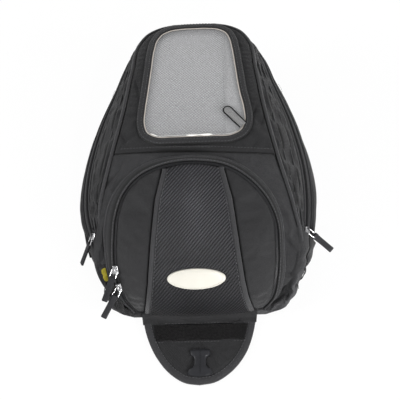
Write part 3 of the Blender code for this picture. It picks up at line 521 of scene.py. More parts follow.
def relax(grid, free, up, pressure, slack, cap, closed=False, frames=16):
    """The grid after a cloth simulation. free is 0 where it is sewn down and 1 where it may move, by cap at most."""
    faces = quads(numbered(*grid.shape[:2], closed))[:, :: facing(grid, up)].tolist()
    mesh = bpy.data.meshes.new("relaxing")
    mesh.from_pydata(grid.reshape(-1, 3).tolist(), [], faces)
    obj = bpy.data.objects.new("relaxing", mesh)
    scene = bpy.context.scene
    scene.collection.objects.link(obj)
    pins = obj.vertex_groups.new(name="pins")
    for k, weight in enumerate((1.0 - free).ravel()):
        if weight > 0.001:
            pins.add([k], float(weight), "REPLACE")
    modifier = obj.modifiers.new("cloth", "CLOTH")
    for key, value in {"quality": 5, "mass": 0.3, "tension_stiffness": 20.0, "compression_stiffness": 20.0,
                       "shear_stiffness": 5.0, "bending_stiffness": 0.4, "vertex_group_mass": "pins",
                       "shrink_min": -slack, "use_pressure": True, "uniform_pressure_force": pressure}.items():
        setattr(modifier.settings, key, value)
    modifier.settings.effector_weights.gravity = 0.0
    modifier.collision_settings.use_collision = False
    modifier.point_cache.frame_end = frames
    for frame_number in range(1, frames + 1):
        scene.frame_set(frame_number)
    shown = obj.evaluated_get(bpy.context.evaluated_depsgraph_get())
    found = np.empty(grid.size)
    shown.data.vertices.foreach_get("co", found)
    bpy.data.objects.remove(obj)
    scene.frame_set(1)
    moved = found.reshape(grid.shape) - grid
    far = np.linalg.norm(moved, axis=-1, keepdims=True)
    return grid + moved * np.minimum(1.0, cap / np.maximum(far, 1e-9)) * free[..., None]


def cushion(base, lift, free, pressure, slack, cap, centre=(0, 0, 0), **more):
    """Cloth raised off its base and relaxed: its grid and the base's outward normals."""
    normals = outward_normals(base, more.get("closed", False), centre)
    return relax(base + normals * lift[..., None], free, normals, pressure, slack, cap, **more), normals


def stitches(name, path, up, body, wide=0.0005):
    """A row of stitches along the path, lying on the surface whose normals are up."""
    long, gap, proud = 0.0030, 0.0016, 0.0001
    at = lengths(path)
    steps = 2 * max(2, int(at[-1] / (long + gap))) + 1
    dense = evenly(path, steps)
    pick = slice(1, None, 2)
    x = unit(np.gradient(dense, axis=0))[pick]
    z = unit(looked_up(np.linspace(0, at[-1], steps), at, np.broadcast_to(up, path.shape)))[pick]
    axes = x, unit(np.cross(z, x)), z
    piece(pebbles(name, (long, wide, wide * 0.8), dense[pick] + z * proud, axes, thread), body)


def zip_half(name, path, up, side, body, nodes, width=0.0040):
    """One tape of a zip with its row of teeth. path is the line where the two tapes meet; side points at it."""
    profile = (0.0002, 0.0002, -0.0001, -0.0003, -0.0010)
    shares = np.linspace(0.0, 1.0, len(profile))
    grid = np.stack([path - side * (0.0003 + share * width) + up * p for share, p in zip(shares, profile)])
    piece(shell(name + "_tape", grid, 0.0009, tape_cloth, up), body, nodes)
    line = path - side * 0.0007 + up * 0.0005
    at = lengths(line)
    count = int(at[-1] / TOOTH_PITCH)
    ups, sides = (unit(looked_up(np.linspace(0, at[-1], count), at, v)) for v in (up, side))
    axes = sides, unit(np.cross(ups, sides)), ups
    piece(pebbles(name + "_teeth", TOOTH, evenly(line, count), axes, coil_plastic), body)


# Tub
def settle(points):
    """The left front corner sits a little further in than the right one."""
    x, y = points[..., 0], points[..., 1]
    moved = np.array(points, float)
    moved[..., 0] += (LEFT_PULL * bell(y - LEFT_Y, LEFT_LONG) * smooth(-x, 0.100, 0.140)
                      - RIGHT_PULL * bell(y - RIGHT_Y, RIGHT_LONG) * smooth(x, 0.100, 0.145))
    return moved


def wall_at(foot, wide, rim, t):
    """The tub wall at the share t of the way up, on a curve through its three lines."""
    return foot * (1 - t) * (1 - 2 * t) + wide * 4 * t * (1 - t) + rim * t * (2 * t - 1)


def wall_grid(rows):
    t = np.linspace(0, 1, rows)[:, None, None]
    return wall_at(loop_of(FOOT), loop_of(WIDE), loop_of(LOW_RIM), t)


def make_tub():
    rows = 26
    base = wall_grid(rows)
    normals = outward_normals(base, True, TUB_CENTRE)
    t = np.linspace(0, 1, rows)[:, None]
    middle = np.sin(math.pi * t) ** 0.7
    wrinkle = bumps(base, 22, 1, (1, 1, 2.2)) * 0.0016 + bumps(base, 55, 2) * 0.0006
    from_seam = np.abs(base[:, :, 1] - SEAM_Y)
    seam = bell(from_seam, 0.0016) * (np.abs(base[:, :, 0]) > 0.09)
    lift = (wrinkle + 0.0012) * middle - 0.0012 * seam - 0.0022 * smooth(t, 0.93, 1.0)
    outer = settle(base + normals * lift[..., None])
    # tone: painted shade in the two sunken upright seams, half as bright there
    wall = shell("tub_wall_cloth", outer, WALL_T, ballistic, closed=True, tone=1 - 0.5 * seam,
                 inner=settle(base - normals * WALL_T))
    piece(wall, "tub", ["tub_wall"])
    low = wall_grid(60)
    path = settle(low[2]) + outward_normals(low, True, TUB_CENTRE)[2] * 0.0006
    piece(sweep("foot_binding", path, round_section(0.0022, 0.0030), piping_cloth, closed=True), "tub")
    near = from_seam[5].argsort()[:60]
    for side, label in SIDES:
        column = near[base[5, near, 0] * side > 0][0]
        line, up = outer[2:24, column], normals[2:24, column]
        stitches("wall_seam_stitches_" + label, line + [0, 0.0035, 0] + up * 0.0009, up, "tub",
                 0.0007)


make_tub()


# Zips, collar and the lid's side
def padded_band(start, end, rows, height, power, floor):
    """A padded band between two distances from the lid's edge."""
    t = np.linspace(0, 1, rows)
    profile = height * np.clip(1 - (2 * t - 1) ** 2, 0, 1) ** power + floor
    return np.stack([band(start + (end - start) * k, p) for k, p in zip(t, profile)])


def make_bands():
    for name, up_from_rim, lift, bodies in (("expansion_zip", 0.0038, -0.0010, ("tub", "collar")),
                                            ("main_zip", 0.0158, -0.0008, ("collar", "lid"))):
        line = settle(band(U_BAND - up_from_rim, lift))
        for body, label, side in zip(bodies, ("lower", "upper"), (-1, 1)):
            zip_half(f"{name}_{label}", line, U_OUT, U_DOWN * side, body, [f"{name}_{body}_tape"])
    grid = settle(padded_band(U_BAND - 0.0119, U_BAND - 0.0077, 9, 0.0026, 0.5, -0.0006))
    piece(shell("collar_roll", grid, 0.0022, smooth_cloth, U_OUT), "collar",
          ["collar_band"])
    rim = settle(padded_band(U_BAND + 0.0010, U_BAND - 0.0006, 7, 0.0016, 0.5, -0.0006))
    piece(shell("rim_binding", rim, 0.0018, piping_cloth, U_OUT), "tub")

    rows = 44
    t = np.linspace(0, 1, rows)
    start, end = 0.0064, U_BAND - 0.0192
    seam = sum(bell(t - share, 0.045) for share in SIDE_SEAMS)
    grid = padded_band(start, end, rows, 0.0034, 0.38, -0.0012) - U_OUT * (0.0016 * seam)[:, None, None]
    wrinkle = bumps(grid, 24, 5, (1, 1, 1.5)) * 0.0007 * np.sin(math.pi * t)[:, None]
    grid = grid + U_OUT * wrinkle[..., None]
    free = np.broadcast_to(smooth(np.sin(math.pi * t), 0.05, 0.5)[:, None], grid.shape[:2]).copy()
    free[:, :3] = free[:, -3:] = 0
    grid = settle(relax(grid, free, U_OUT, 0.8, 0.03, 0.0028))
    # painted shade: the side panel darkens towards its upper and lower edges and in its sunken corded seams
    tone = (0.25 + 0.75 * rise(np.minimum(t, 1 - t), 0.10)) * (1 - 0.85 * seam)
    piece(shell("lid_side_pad", grid, 0.0030, ballistic, U_OUT, tone=tone[:, None]), "lid",
          ["lid_side"])

    for share, label in zip(SIDE_SEAMS, ("upper", "lower")):
        cord = settle(band(start + (end - start) * share, 0.0012))
        piece(sweep("side_seam_cord_" + label, cord, round_section(0.0012), piping_cloth, U_OUT), "lid")
    piece(sweep("lid_edge_piping", settle(band(0.0042, 0.0016)), round_section(0.0023), piping_cloth, U_OUT),
          "lid", ["lid_piping"])
    lip = settle(np.stack([band(*place) for place in ((0.0012, -0.0012), (0.0030, -0.0002), (0.0052, -0.0002),
                                                      (0.0066, -0.0008))]))
    piece(shell("lid_edge_flange", lip, 0.0010, dark_cloth, U_OUT), "lid")


make_bands()


# Lid
def polar(loop, centre, angles):
    """The loop's points at those angles round the centre."""
    off = loop - centre
    found = np.arctan2(off[:, 1], off[:, 0])
    order = np.argsort(found)
    a, r = found[order], np.linalg.norm(off, axis=1)[order]
    radius = np.interp(angles, np.concatenate([a - 2 * math.pi, a, a + 2 * math.pi]), np.concatenate([r, r, r]))
    return centre + np.stack([np.cos(angles), np.sin(angles)], -1) * radius[:, None]


def grown(loop, distance):
    """A closed (x, s) loop moved outwards."""
    along = unit(np.roll(loop, -1, 0) - np.roll(loop, 1, 0))
    normal = np.stack([along[:, 1], -along[:, 0]], -1)
    normal *= np.sign(np.sum(normal * (loop - loop.mean(0)), -1).mean())
    return loop + normal * distance


film_loop = evenly(hermite(mm(FILM_EDGE), 12, closed=True), 240, closed=True)


def crest(x):
    """s of the seam between the lid's top and its front."""
    return CREST_MIDDLE + CREST_SLOPE * np.asarray(x)


def lid_edge(low, side):
    """(x, s) along the lid's edge on one side, from s = low up to the far end."""
    rows = np.concatenate([[[low, half_width(low)]], edge_table[edge_table[:, 0] > low]])
    return rows[:, ::-1] * [side, 1]


def creases(x, s, depth, marks):
    """Sunken lines. A mark is its middle x and s, half width and half length in millimetres, and its turn."""
    total = 0.0
    for x0, s0, wide, long, turn in marks:
        dx, ds = x - x0 / 1000, s - s0 / 1000
        a, b = dx * math.cos(turn) + ds * math.sin(turn), ds * math.cos(turn) - dx * math.sin(turn)
        total = total + bell(a, long / 1000) * bell(b, wide / 1000)
    return depth * total


def make_lid_top():
    """The ring of cloth round the map window, with the deep fold over the front pocket."""
    middle = np.array([0.001, 0.356])
    edge = half_width(0.237)
    outline = np.concatenate([lid_edge(crest(edge), 1), lid_edge(crest(-edge), -1)[::-1]])
    x = np.linspace(-edge, edge, 120)[1:-1]
    loop = np.concatenate([outline, np.stack([x, crest(x)], -1)])
    corners = [math.atan2(*(p - middle)[::-1]) for p in (outline[0], outline[-1])]
    angles = np.unique(np.concatenate([np.linspace(-math.pi, math.pi, 289)[:-1], corners]))
    inner = polar(grown(film_loop, FRAME_WIDTH - 0.0012), middle, angles)
    outer = polar(loop, middle, angles)
    t = 0.5 - 0.5 * np.cos(math.pi * np.linspace(0, 1, 30))
    flat = between(inner, outer, t)
    width = np.linalg.norm(outer - inner, axis=-1)
    gap = width * t[:, None]
    to_edge = width - gap
    base = on_lid(flat)
    in_fold = bell(flat[..., 0] + 0.020, 0.044, 4)
    to_crest = flat[..., 1] - crest(flat[..., 0])
    puff = 0.0018 * rise(gap, 0.008) * rise(to_edge, 0.007) - 0.0018
    puff = puff + 0.0042 * in_fold * bell(to_crest - 0.0050, 0.0036)
    puff = puff - creases(flat[..., 0], flat[..., 1], 0.0026, (
        (88, 249, 3.4, 14, 0.9), (98, 284, 3, 12, 1.35), (-98, 262, 3, 12, 2.1), (86, 300, 2.6, 16, 1.2),
        (-82, 352, 2.8, 14, 1.75), (0, 247.5, 2.8, 50, 0.02)))
    free = rise(gap, 0.012) * rise(to_edge, 0.012) * 0.9
    grid, normals = cushion(base, puff, free, 0.5, 0.025, 0.0022, closed=True)
    # painted shade: darker at the edges by the window frame and the lid's edge, and a painted shadow in the deep fold
    # over the crest
    tone = (0.12 + 0.88 * rise(gap, 0.0022)) * (0.10 + 0.90 * rise(to_edge - 0.0004, 0.0026))
    tone = tone * (1 - 0.92 * in_fold * bell(to_crest, 0.0036))
    piece(shell("lid_top_cloth", grid, SHEET, ballistic, normals, True, flat, tone), "lid",
          ["lid_panel"])


def make_lid_front():
    """The cloth in front of the crest, under the pocket."""
    u, t = np.linspace(-1, 1, 110)[None], np.linspace(0, 1, 90)[:, None]
    s = t * (crest(0) + 0.0006)
    x = u * half_width(s)
    s = s + (crest(x) - crest(0)) * smooth(t, 0.8, 1.0)
    inside, to_crest = (1 - np.abs(u)) * half_width(s), crest(x) - s
    puff = 0.0008 * rise(inside, 0.012) * rise(to_crest, 0.008) - 0.0010 - 0.0022 * bell(to_crest, 0.0024)
    puff = puff - creases(x, s, 0.0030, (
        (121, 150, 4, 16, 2), (126, 108, 4, 20, 2.3), (127, 60, 4.5, 18, 2.6), (122, 34, 4, 16, 0.5),
        (-132, 100, 4, 18, 1.3), (-116, 205, 4, 14, 0.9)))
    free = rise(inside, 0.012) * rise(to_crest, 0.012) * rise(s, 0.01)
    grid, normals = cushion(skin(x, s), puff, free, 0.4, 0.02, 0.0020)
    # painted light: the whole front cloth is brightened 1.5 times; painted shade darkens it towards the crest and
    # along its sides
    tone = 1.5 * (0.15 + 0.85 * rise(to_crest, 0.0024)) * (
        0.25 + 0.75 * np.maximum(rise(inside, 0.0026), 1 - smooth(s, 0.09, 0.11)))
    piece(shell("lid_front_cloth", grid, SHEET, ballistic, normals, uv=np.stack([x, s], -1), tone=tone), "lid")
    x = np.linspace(-0.104, 0.112, 160)
    stitches("crest_stitches", skin(x, crest(x) + 0.0065, 0.0008 + 0.0018 * bell(x, 0.06, 4)),
             (0, -0.25, 1.0), "lid")


make_lid_top()
make_lid_front()


def make_window():
    # The third column is tone: painted shade at the frame's two edges and a painted highlight along its padded crown
    frame_rows = np.array([(-0.0012, 0.0012, 0.10), (-0.0009, 0.0024, 0.25), (0.0002, 0.0032, 0.8),
                           (0.0016, 0.0036, 1.1), (0.0045, 0.0038, 1.15), (0.0072, 0.0034, 1.1),
                           (0.0086, 0.0026, 0.8), (FRAME_WIDTH, 0.0012, 0.12), (FRAME_WIDTH + 0.0002, -0.0008, 0.08)])
    grid = np.stack([on_lid(grown(film_loop, offset), lift) for offset, lift, _ in frame_rows])
    piece(shell("window_frame", grid, 0.0012, smooth_cloth, closed=True, tone=frame_rows[:, 2:]), "lid",
          ["window_piping"])
    for label, offset, lift in (("inner", 0.0024, 0.0040), ("outer", 0.0076, 0.0036)):
        path = on_lid(grown(film_loop, offset), lift)
        stitches(f"window_frame_{label}_stitches", np.concatenate([path, path[:1]]), UP, "lid")
    rim = grown(film_loop, -0.0016)
    piece(sweep("film_cut_edge", on_lid(rim, 0.0021), round_section(0.0009, 0.0004, 8), film_rim, closed=True),
          "lid")
    # The film's curled lower edge as a pale swollen cord in broken streaks: a real fold with its glints painted into
    # its colour
    low = rim[rim[:, 1] < rim[:, 1].min() + 0.0060]
    low = low[np.argsort(low[:, 0])]
    fold = evenly(on_lid(low + [0, 0.0018], 0.0027), 160)
    t = np.linspace(0, 1, len(fold))
    swell = np.clip(np.sin(t * 9.5 + 2.4) + 0.5 * np.sin(t * 31), 0, 1) * np.sin(math.pi * t) ** 0.4
    piece(sweep("film_lower_fold", fold, round_section(0.0017, 0.0006, 10), film_fold, scale=0.12 + 0.95 * swell),
          "lid")

    centre = film_loop.mean(0)
    shares = np.linspace(0.0, 1.0, 46)
    flat = between(centre, grown(film_loop, -0.0004), 0.004 + 0.996 * shares)
    to_bottom = flat[..., 1] - 0.2590
    wave = 0.0007 * np.sin(flat[..., 0] * 95 + 0.6) * bell(to_bottom, 0.030)
    ridge = 0.0034 * bell(to_bottom - 0.0046, 0.0022) * (0.6 + 0.4 * np.sin(flat[..., 0] * 74 + 2.0))
    slack = 0.0009 * bumps(flat, 16, 9) * rise(1 - shares, 0.2)[:, None]
    grid = on_lid(flat, 0.0012 + (wave + ridge) * (shares < 0.995)[:, None] + slack)
    piece(shell("window_film", grid, 0.0004, film, closed=True, uv=flat), "lid", ["map_film"])

    shares = np.linspace(0, 1, 30)
    flat = between(centre, grown(film_loop, 0.004), 0.004 + 0.996 * shares)
    # painted shade round the backing's edge under the frame; the backing is also made lighter towards its upper end
    tone = (0.62 + 0.38 * rise(1 - shares, 0.14)[:, None]) * (0.92 + 0.22 * smooth(flat[..., 1], 0.28, 0.40))
    backing = shell("map_backing_cloth", on_lid(flat, -0.0030 - 0.0004 * bumps(flat, 18, 4)), 0.0008, mesh_cloth,
                    closed=True, uv=flat, tone=tone)
    piece(backing, "lid", ["map_backing"])
    s = np.linspace(0.2640, 0.4500, 60)
    left = np.interp(s, [0.26, 0.45], [0.0470, 0.0440])
    right = np.interp(s, [0.262, 0.30, 0.34, 0.42, 0.45], [0.066, 0.0775, 0.0705, 0.0610, 0.0530])
    t = np.linspace(0, 1, 10)
    flat = between(np.stack([left, s], -1), np.stack([right, s], -1), t)
    grid = on_lid(flat, (-0.0024 + 0.0003 * np.sin(math.pi * t))[:, None])
    piece(shell("map_side_strip", grid, 0.0006, strip_cloth, uv=flat), "lid")
    piece(sweep("map_seam_cord", skin(left + 0.0004, s, -0.0016), round_section(0.0006, 0.0004, 8), strip_cloth),
          "lid")


def make_pull_tab():
    """A short strap on the window's frame, round at its upper end."""
    start, end, half = np.array([0.0500, 0.3010]), np.array([0.0712, 0.2765]), 0.0064
    along = unit(end - start)
    across = np.array([-along[1], along[0]])
    turns = np.linspace(math.pi / 2, 3 * math.pi / 2, 15)
    outline = np.array([end + across * half * 0.92]
                       + [start + along * math.cos(a) * half + across * math.sin(a) * half for a in turns]
                       + [end - across * half * 0.92])
    middle = np.array([end] + [start + along * max(math.cos(a), -0.4) * half * 0.6 for a in turns] + [end])
    flat = between(middle, outline, (0.0, 0.35, 0.7, 0.88, 1.0))
    grid = on_lid(flat, np.array([0.0038, 0.0038, 0.0037, 0.0035, 0.0029])[:, None])
    piece(shell("map_pull_strap", grid, 0.0008, tab_cloth, uv=flat), "lid", ["map_pull_tab"])
    piece(sweep("map_pull_strap_binding", on_lid(outline, 0.0032), round_section(0.0010, 0.0009, 8), dark_cloth),
          "lid")


make_window()
make_pull_tab()


# Front pocket
COUNT = 181
zip_arch, base_arch = (evenly(hermite(mm(arch), 10), COUNT) for arch in (ZIP_ARCH, BASE_ARCH))
arch_along = unit(np.gradient(zip_arch, axis=0))
arch_out = np.stack([arch_along[:, 1], -arch_along[:, 0]], -1)
right_arch, left_arch = (part[part[:, 1].argsort()] for part in (zip_arch[: COUNT // 2 + 2],
                                                                 zip_arch[COUNT // 2 - 2 :][::-1]))


def dome(x, s, lift=0.0):
    """The pocket door's outside at (x, s)."""
    right, left = (np.interp(s, part[:, 1], part[:, 0]) for part in (right_arch, left_arch))
    middle, half = (right + left) / 2, np.maximum((right - left) / 2, 0.012)
    across = np.clip(1 - ((x - middle) / half) ** 2, 0, 1)
    along = np.minimum(1.0, np.minimum((POCKET_TOP - s) / 0.11, 0.12 + s / 0.045))
    share = across * np.clip(along, 0, 1)
    return skin(x, s, POCKET_LIFT + 0.0145 * (1 - (1 - share) ** 2.2) + lift)


def seam_half(s):
    return np.interp(s, *mm(SEAM_HALF).T)


def make_pocket_wall():
    up = outward_normals(np.stack([on_lid(zip_arch + arch_out * d) for d in (0.0, 0.004)]))[0]
    out = unit(on_lid(zip_arch + arch_out * 0.001) - on_lid(zip_arch))
    line = on_lid(zip_arch, POCKET_LIFT - 0.0016)
    zip_half("pocket_zip_outer", line, up, -out, "lid", ["pocket_zip_wall_tape"], 0.0042)
    zip_half("pocket_zip_inner", line, up, out, "pocket_door", ["pocket_zip_door_tape"])

    rows = [(zip_arch + arch_out * d, lift) for d, lift in (
        (0.0030, 0.0052), (0.0034, 0.0064), (0.0046, 0.0072), (0.0058, 0.0068), (0.0066, 0.0056))]
    near = rows[-1][0]
    rows += [(near + (base_arch - near) * k, lift) for k, lift in (
        (0.35, 0.0048), (0.65, 0.0036), (0.9, 0.0022), (1.0, 0.0006))]
    grid = np.stack([on_lid(*row) for row in rows])
    # painted shade in the grooves at its edges and between its two rolls, painted highlights along the rolls' crowns
    tone = np.array([0.1, 0.9, 1.7, 1.2, 0.2, 0.9, 1.25, 0.9, 0.1])[:, None]
    piece(shell("pocket_gusset", grid, 0.0012, smooth_cloth, up, tone=tone), "lid",
          ["pocket_wall"])
    piece(sweep("pocket_base_piping", on_lid(base_arch, 0.0014), round_section(0.0015), piping_cloth, up), "lid")
    stitches("pocket_zip_stitches", on_lid(zip_arch + arch_out * 0.0050, 0.0074), up, "lid")


def make_pocket_side(side, label):
    """A cloth panel of the door between the zip and the carbon-look panel, with its strip and stitches."""
    rows, low = 70, 0.004
    tau = np.linspace(0, 1, rows)
    half = slice(None, COUNT // 2 + 1) if side > 0 else slice(None, COUNT // 2 - 1, -1)
    inside = (zip_arch - arch_out * 0.0016)[half]
    stop = np.argmax((np.abs(inside[:, 0]) < seam_half(inside[:, 1]) + 0.003) & (inside[:, 1] > 0.15))
    outer = evenly(inside[: stop + 1], rows)
    s = 0.5 * (low + (outer[-1, 1] - low) * tau) + 0.5 * np.maximum(outer[:, 1], low)
    inner = np.stack([side * (seam_half(s) + 0.0006), s], -1)
    columns = np.linspace(0, 1, 22)
    flat = between(inner, outer, columns)
    width = np.linalg.norm(outer - inner, axis=-1)
    from_seam, from_arch = columns[:, None] * width, (1 - columns[:, None]) * width
    base = dome(flat[..., 0], flat[..., 1])
    lift = 0.0016 * rise(from_seam, 0.008) + 0.0008 * rise(from_arch, 0.005) - 0.0020
    lift = lift + 0.0007 * bumps(base, 26, 11 + side) * rise(from_seam, 0.01) * rise(from_arch, 0.01)
    free = rise(from_seam, 0.008) * rise(from_arch, 0.008) * smooth(tau, 0, 0.06) * (1 - smooth(tau, 0.9, 1.0))
    grid, normals = cushion(base, lift, free, 0.8, 0.02, 0.0024)
    # painted shade along the seam and the zip edge
    tone = (0.25 + 0.75 * rise(from_seam, 0.0026)) * (0.15 + 0.85 * rise(from_arch, 0.0026))
    piece(shell("pocket_side_panel_" + label, grid, 0.0018, smooth_cloth, normals, uv=flat, tone=tone),
          "pocket_door", ["pocket_door"] if side > 0 else ())

    s = np.linspace(0.003, 0.2125, 120)
    centre = side * (seam_half(s) - 0.0042)
    section = mm([(-3.6, -0.6), (-3.3, 0.8), (-2, 1.7), (0, 2), (2, 1.7), (3.3, 0.8), (3.6, -0.6)])
    ups = outward_normals(np.stack([dome(centre + d, s) for d in (-0.003, 0.003)]))[0]
    piece(sweep("accent_strip_" + label, dome(centre, s, 0.0004), section, piping_cloth, ups), "pocket_door",
          ["accent_piping_" + label])
    stitches("accent_stitches_" + label, dome(side * (seam_half(s) - 0.0087), s, 0.0022), ups, "pocket_door",
             0.0007)


def make_carbon_panel():
    v, u = np.linspace(0, 1, 110)[:, None], np.linspace(-1, 1, 60)[None]
    top = np.interp(u * 0.044, *zip_arch[::-1].T) - 0.0018
    s = 0.003 + (top - 0.003) * v
    x = u * (seam_half(s) - 0.0066)
    base = dome(x, s)
    normals = outward_normals(base)
    edge = rise((1 - np.abs(u)) * 0.06, 0.008)
    lift = 0.0006 + edge * (0.0016 * rise(top - s, 0.008) + 0.0006 * bumps(base, 20, 21)
                            - 0.0010 * bell(s - 0.092, 0.006))
    # painted shade: darker at the top edge by the zip, at the side seams and towards the lower front-facing end; a
    # painted highlight in the upper middle
    tone = (0.3 + 0.7 * rise(top - s, 0.004)) * (0.46 + 0.60 * smooth(s, 0.00, 0.19)) * (0.35 + 0.65 * edge)
    tone = tone * (1 + 0.5 * bell(s - 0.150, 0.045) * bell(x - 0.002, 0.016))
    piece(shell("accent_carbon_panel", base + normals * lift[..., None], 0.0014, carbon_cloth, normals,
                uv=np.stack([x, s], -1), tone=tone), "pocket_door", ["accent_panel"])


def make_badge():
    """A plain oval with a step round its edge."""
    a = np.linspace(0, 2 * math.pi, 97)[:-1]
    rows = ((0.01, 5.2), (0.5, 5.1), (0.84, 4.7), (0.885, 4.4), (0.90, 4.9), (0.955, 5), (0.985, 4.4), (1, 3.4),
            (1, 1.4))
    grid = np.stack([dome(0.0008 + 0.0405 * share * np.cos(a), 0.0665 + 0.0125 * share * np.sin(a), lift / 1000)
                     for share, lift in rows])
    piece(shell("badge_oval", grid, 0.0010, emblem, (0, -0.8, 0.5), True, sharp=35), "pocket_door",
          ["badge"])


make_pocket_wall()
for side, label in SIDES:
    make_pocket_side(side, label)
make_carbon_panel()
make_badge()


# Front corners and the folded expansion cloth
corner_grids = {}


def make_corners():
    """The cloth that wraps each front corner, from the lid's edge down over the rim to the tub's foot."""
    wall = wall_grid(9)
    normals = outward_normals(wall, True, TUB_CENTRE)
    columns = []
    for i in range(7, FIRST + 4):
        s, half = edge_table[i - PER] if i >= PER else (0.0, EDGE[i, 0])
        out = OUT[i] * np.sign(np.dot(OUT[i], normals[7, i]) + 1e-9)
        bulge = unit(out + normals[7, i] + [0, 0, 0.4]) * min(0.0065, 0.30 * BAND[i])
        points = [skin(half - 0.0050, s, -0.0020), skin(half - 0.0012, s, -0.0004), (EDGE[i] + RIM[i]) / 2 + bulge,
                  RIM[i] + normals[7, i] * 0.0026]
        points += [wall[k, i] + normals[k, i] * off for k, off in ((5, 0.0024), (3, 0.0026), (1, 0.0014))]
        columns.append(evenly(hermite(points, 8), 44))
    right = np.stack(columns, 1)
    t = np.linspace(0, 1, len(right))[:, None]
    from_start = np.arange(len(columns))
    to_end = from_start[::-1]
    edge = np.sin(math.pi * t) ** 0.6
    ends = np.minimum(from_start, 6) / 6
    free = np.clip(edge * 1.2 - 0.2, 0, 1) * ends * np.clip(to_end / 4, 0, 1)
    for (side, label), painted_brightness in zip(SIDES, (1.3, 0.5)):
        grid = right if side > 0 else right * FLIP
        fold = np.sin(grid[..., 2] * 260 + grid[..., 1] * 170 + side) * 0.5
        fold = (fold + bumps(grid, 34, 31 + side, (1, 1, 1.6))) * 0.0013 * edge * ends
        grid, normals = cushion(grid, fold, free, 0.5, 0.05, 0.0035, CORNER_CENTRE, frames=20)
        corner_grids[label] = grid = settle(grid)
        # painted light: the corner cloth is lit up, the right-hand corner much more than the left; painted shade near
        # the foot
        tone = 1.15 + painted_brightness * smooth(t, 0.04, 0.36) * np.clip(to_end / 16, 0, 1) - 0.6 * smooth(t, 0.75, 1.0)
        piece(shell("front_corner_" + label, grid, 0.0014, ballistic, normals, tone=tone), None,
              blend=CORNER_BLEND)


def make_skirt():
    """A cloth wall inside the rim that shows when the expansion opens, deepest at the rear."""
    span = slice(FIRST, 2 * len(EDGE) - 1 - FIRST)
    foot, wide, rim = (loop_of(part)[span] for part in (FOOT, WIDE, LOW_RIM))
    normals = outward_normals(wall_grid(9), True, TUB_CENTRE)[7][span]
    depth = 0.141 * (rim[:, 1] + 0.2065) + 0.006
    height = np.linalg.norm(rim - wide, axis=1) + np.linalg.norm(wide - foot, axis=1)
    rows = [band(U_BAND - 0.0062, -0.0050), band(U_BAND - 0.0020, -0.0056)]
    for k in np.linspace(0.06, 1, 16):
        t = np.clip(1 - k * depth / height, 0.1, 1)[:, None]
        rows.append(wall_at(foot, wide, rim, t) - normals * (WALL_T + 0.0034 + 0.0007 * math.sin(k * 20)))
    piece(shell("expansion_skirt", settle(np.stack(rows)), 0.0008, smooth_cloth, normals), "collar")


make_corners()
make_skirt()


# Magnet flap
flap_half = hermite(mm(FLAP), 10)
flap_outline = np.concatenate([flap_half, (flap_half[:-1] * [-1, 1])[::-1]])
flap_outline[:, 0] *= 1 + 0.05 * smooth(flap_outline[:, 0], 0.0, 0.03) * smooth(-flap_outline[:, 1], 0.215, 0.285)


def flap_inset(distance):
    """The flap's edge moved inwards, with its two ends left on the fold."""
    along = unit(np.gradient(flap_outline, axis=0))
    normal = np.stack([along[:, 1], -along[:, 0]], -1)
    normal *= np.sign(np.sum(normal * ([0, -0.25] - flap_outline), -1).mean())
    moved = flap_outline + normal * distance
    moved[0, 1] = moved[-1, 1] = flap_outline[0, 1]
    return moved


def at_height(flat, z):
    """(x, y) points with their heights."""
    return np.concatenate([flat, np.broadcast_to(z, flat.shape[:-1])[..., None]], -1)


def make_flap():
    inner, centre = flap_inset(0.0085), np.array([0.0, -0.2450])
    rows = np.linspace(0.01, 1, 34)
    flat = between(centre, inner, rows)
    to_edge = (1 - rows)[:, None] * np.linalg.norm(inner - centre, axis=1)
    grid = at_height(flat, 0.0052 + 0.0010 * rise(to_edge, 0.012) + 0.0006 * bumps(flat, 24, 40))
    grid = relax(grid, rise(to_edge, 0.01), UP, 0.3, 0.01, 0.0010)
    # painted shade along the edge under the binding
    piece(shell("flap_top_cloth", grid, 0.0010, ballistic, uv=flat, tone=0.6 + 0.4 * rise(to_edge, 0.003)), "flap",
          ["flap_upper_sheet"])
    path = flap_inset(0.0054)
    path = at_height(path, 0.0044 + 0.0003 * bumps(path, 60, 44))
    section = mm([(0, -2.6), (-5.4, -1), (-5.2, 1.1), (-3.4, 1.7), (0, 2), (3.4, 1.8), (5, 0.8), (5.4, -1.2)])
    piece(sweep("flap_edge_binding", path, section, piping_cloth), "flap", ["flap_binding"])
    stitches("flap_stitches", at_height(flap_inset(0.0094)[2:-2], 0.0062), UP, "flap", 0.0007)


def make_hook_strip():
    v, u = np.linspace(0, 1, 24)[:, None], np.linspace(0, 1, 110)[None]
    x = (u - 0.5) * 2 * (0.0670 - 0.0040 * v) + 0.0012
    y = -0.2205 - 0.0250 * v + 0 * u
    edge = np.minimum(np.minimum(v, 1 - v) * 0.025, np.minimum(u, 1 - u) * 0.13)
    grid = np.stack([x, y, 0.0060 + 0.0017 * rise(edge, 0.0012)], -1)
    grid[..., 2] += 0.0004 * bumps(grid, 420, 50) * rise(edge, 0.001)
    for y0, label in ((-0.2188, "rear"), (-0.2474, "front")):
        line = np.linspace([-0.0640, y0, 0.0066], [0.0660, y0, 0.0066], 50)
        stitches("hook_stitches_" + label, line, UP, "flap")
    piece(shell("hook_strip_fuzzy", grid, 0.0012, fuzz, uv=grid[..., :2]), "flap", ["hook_strip"])


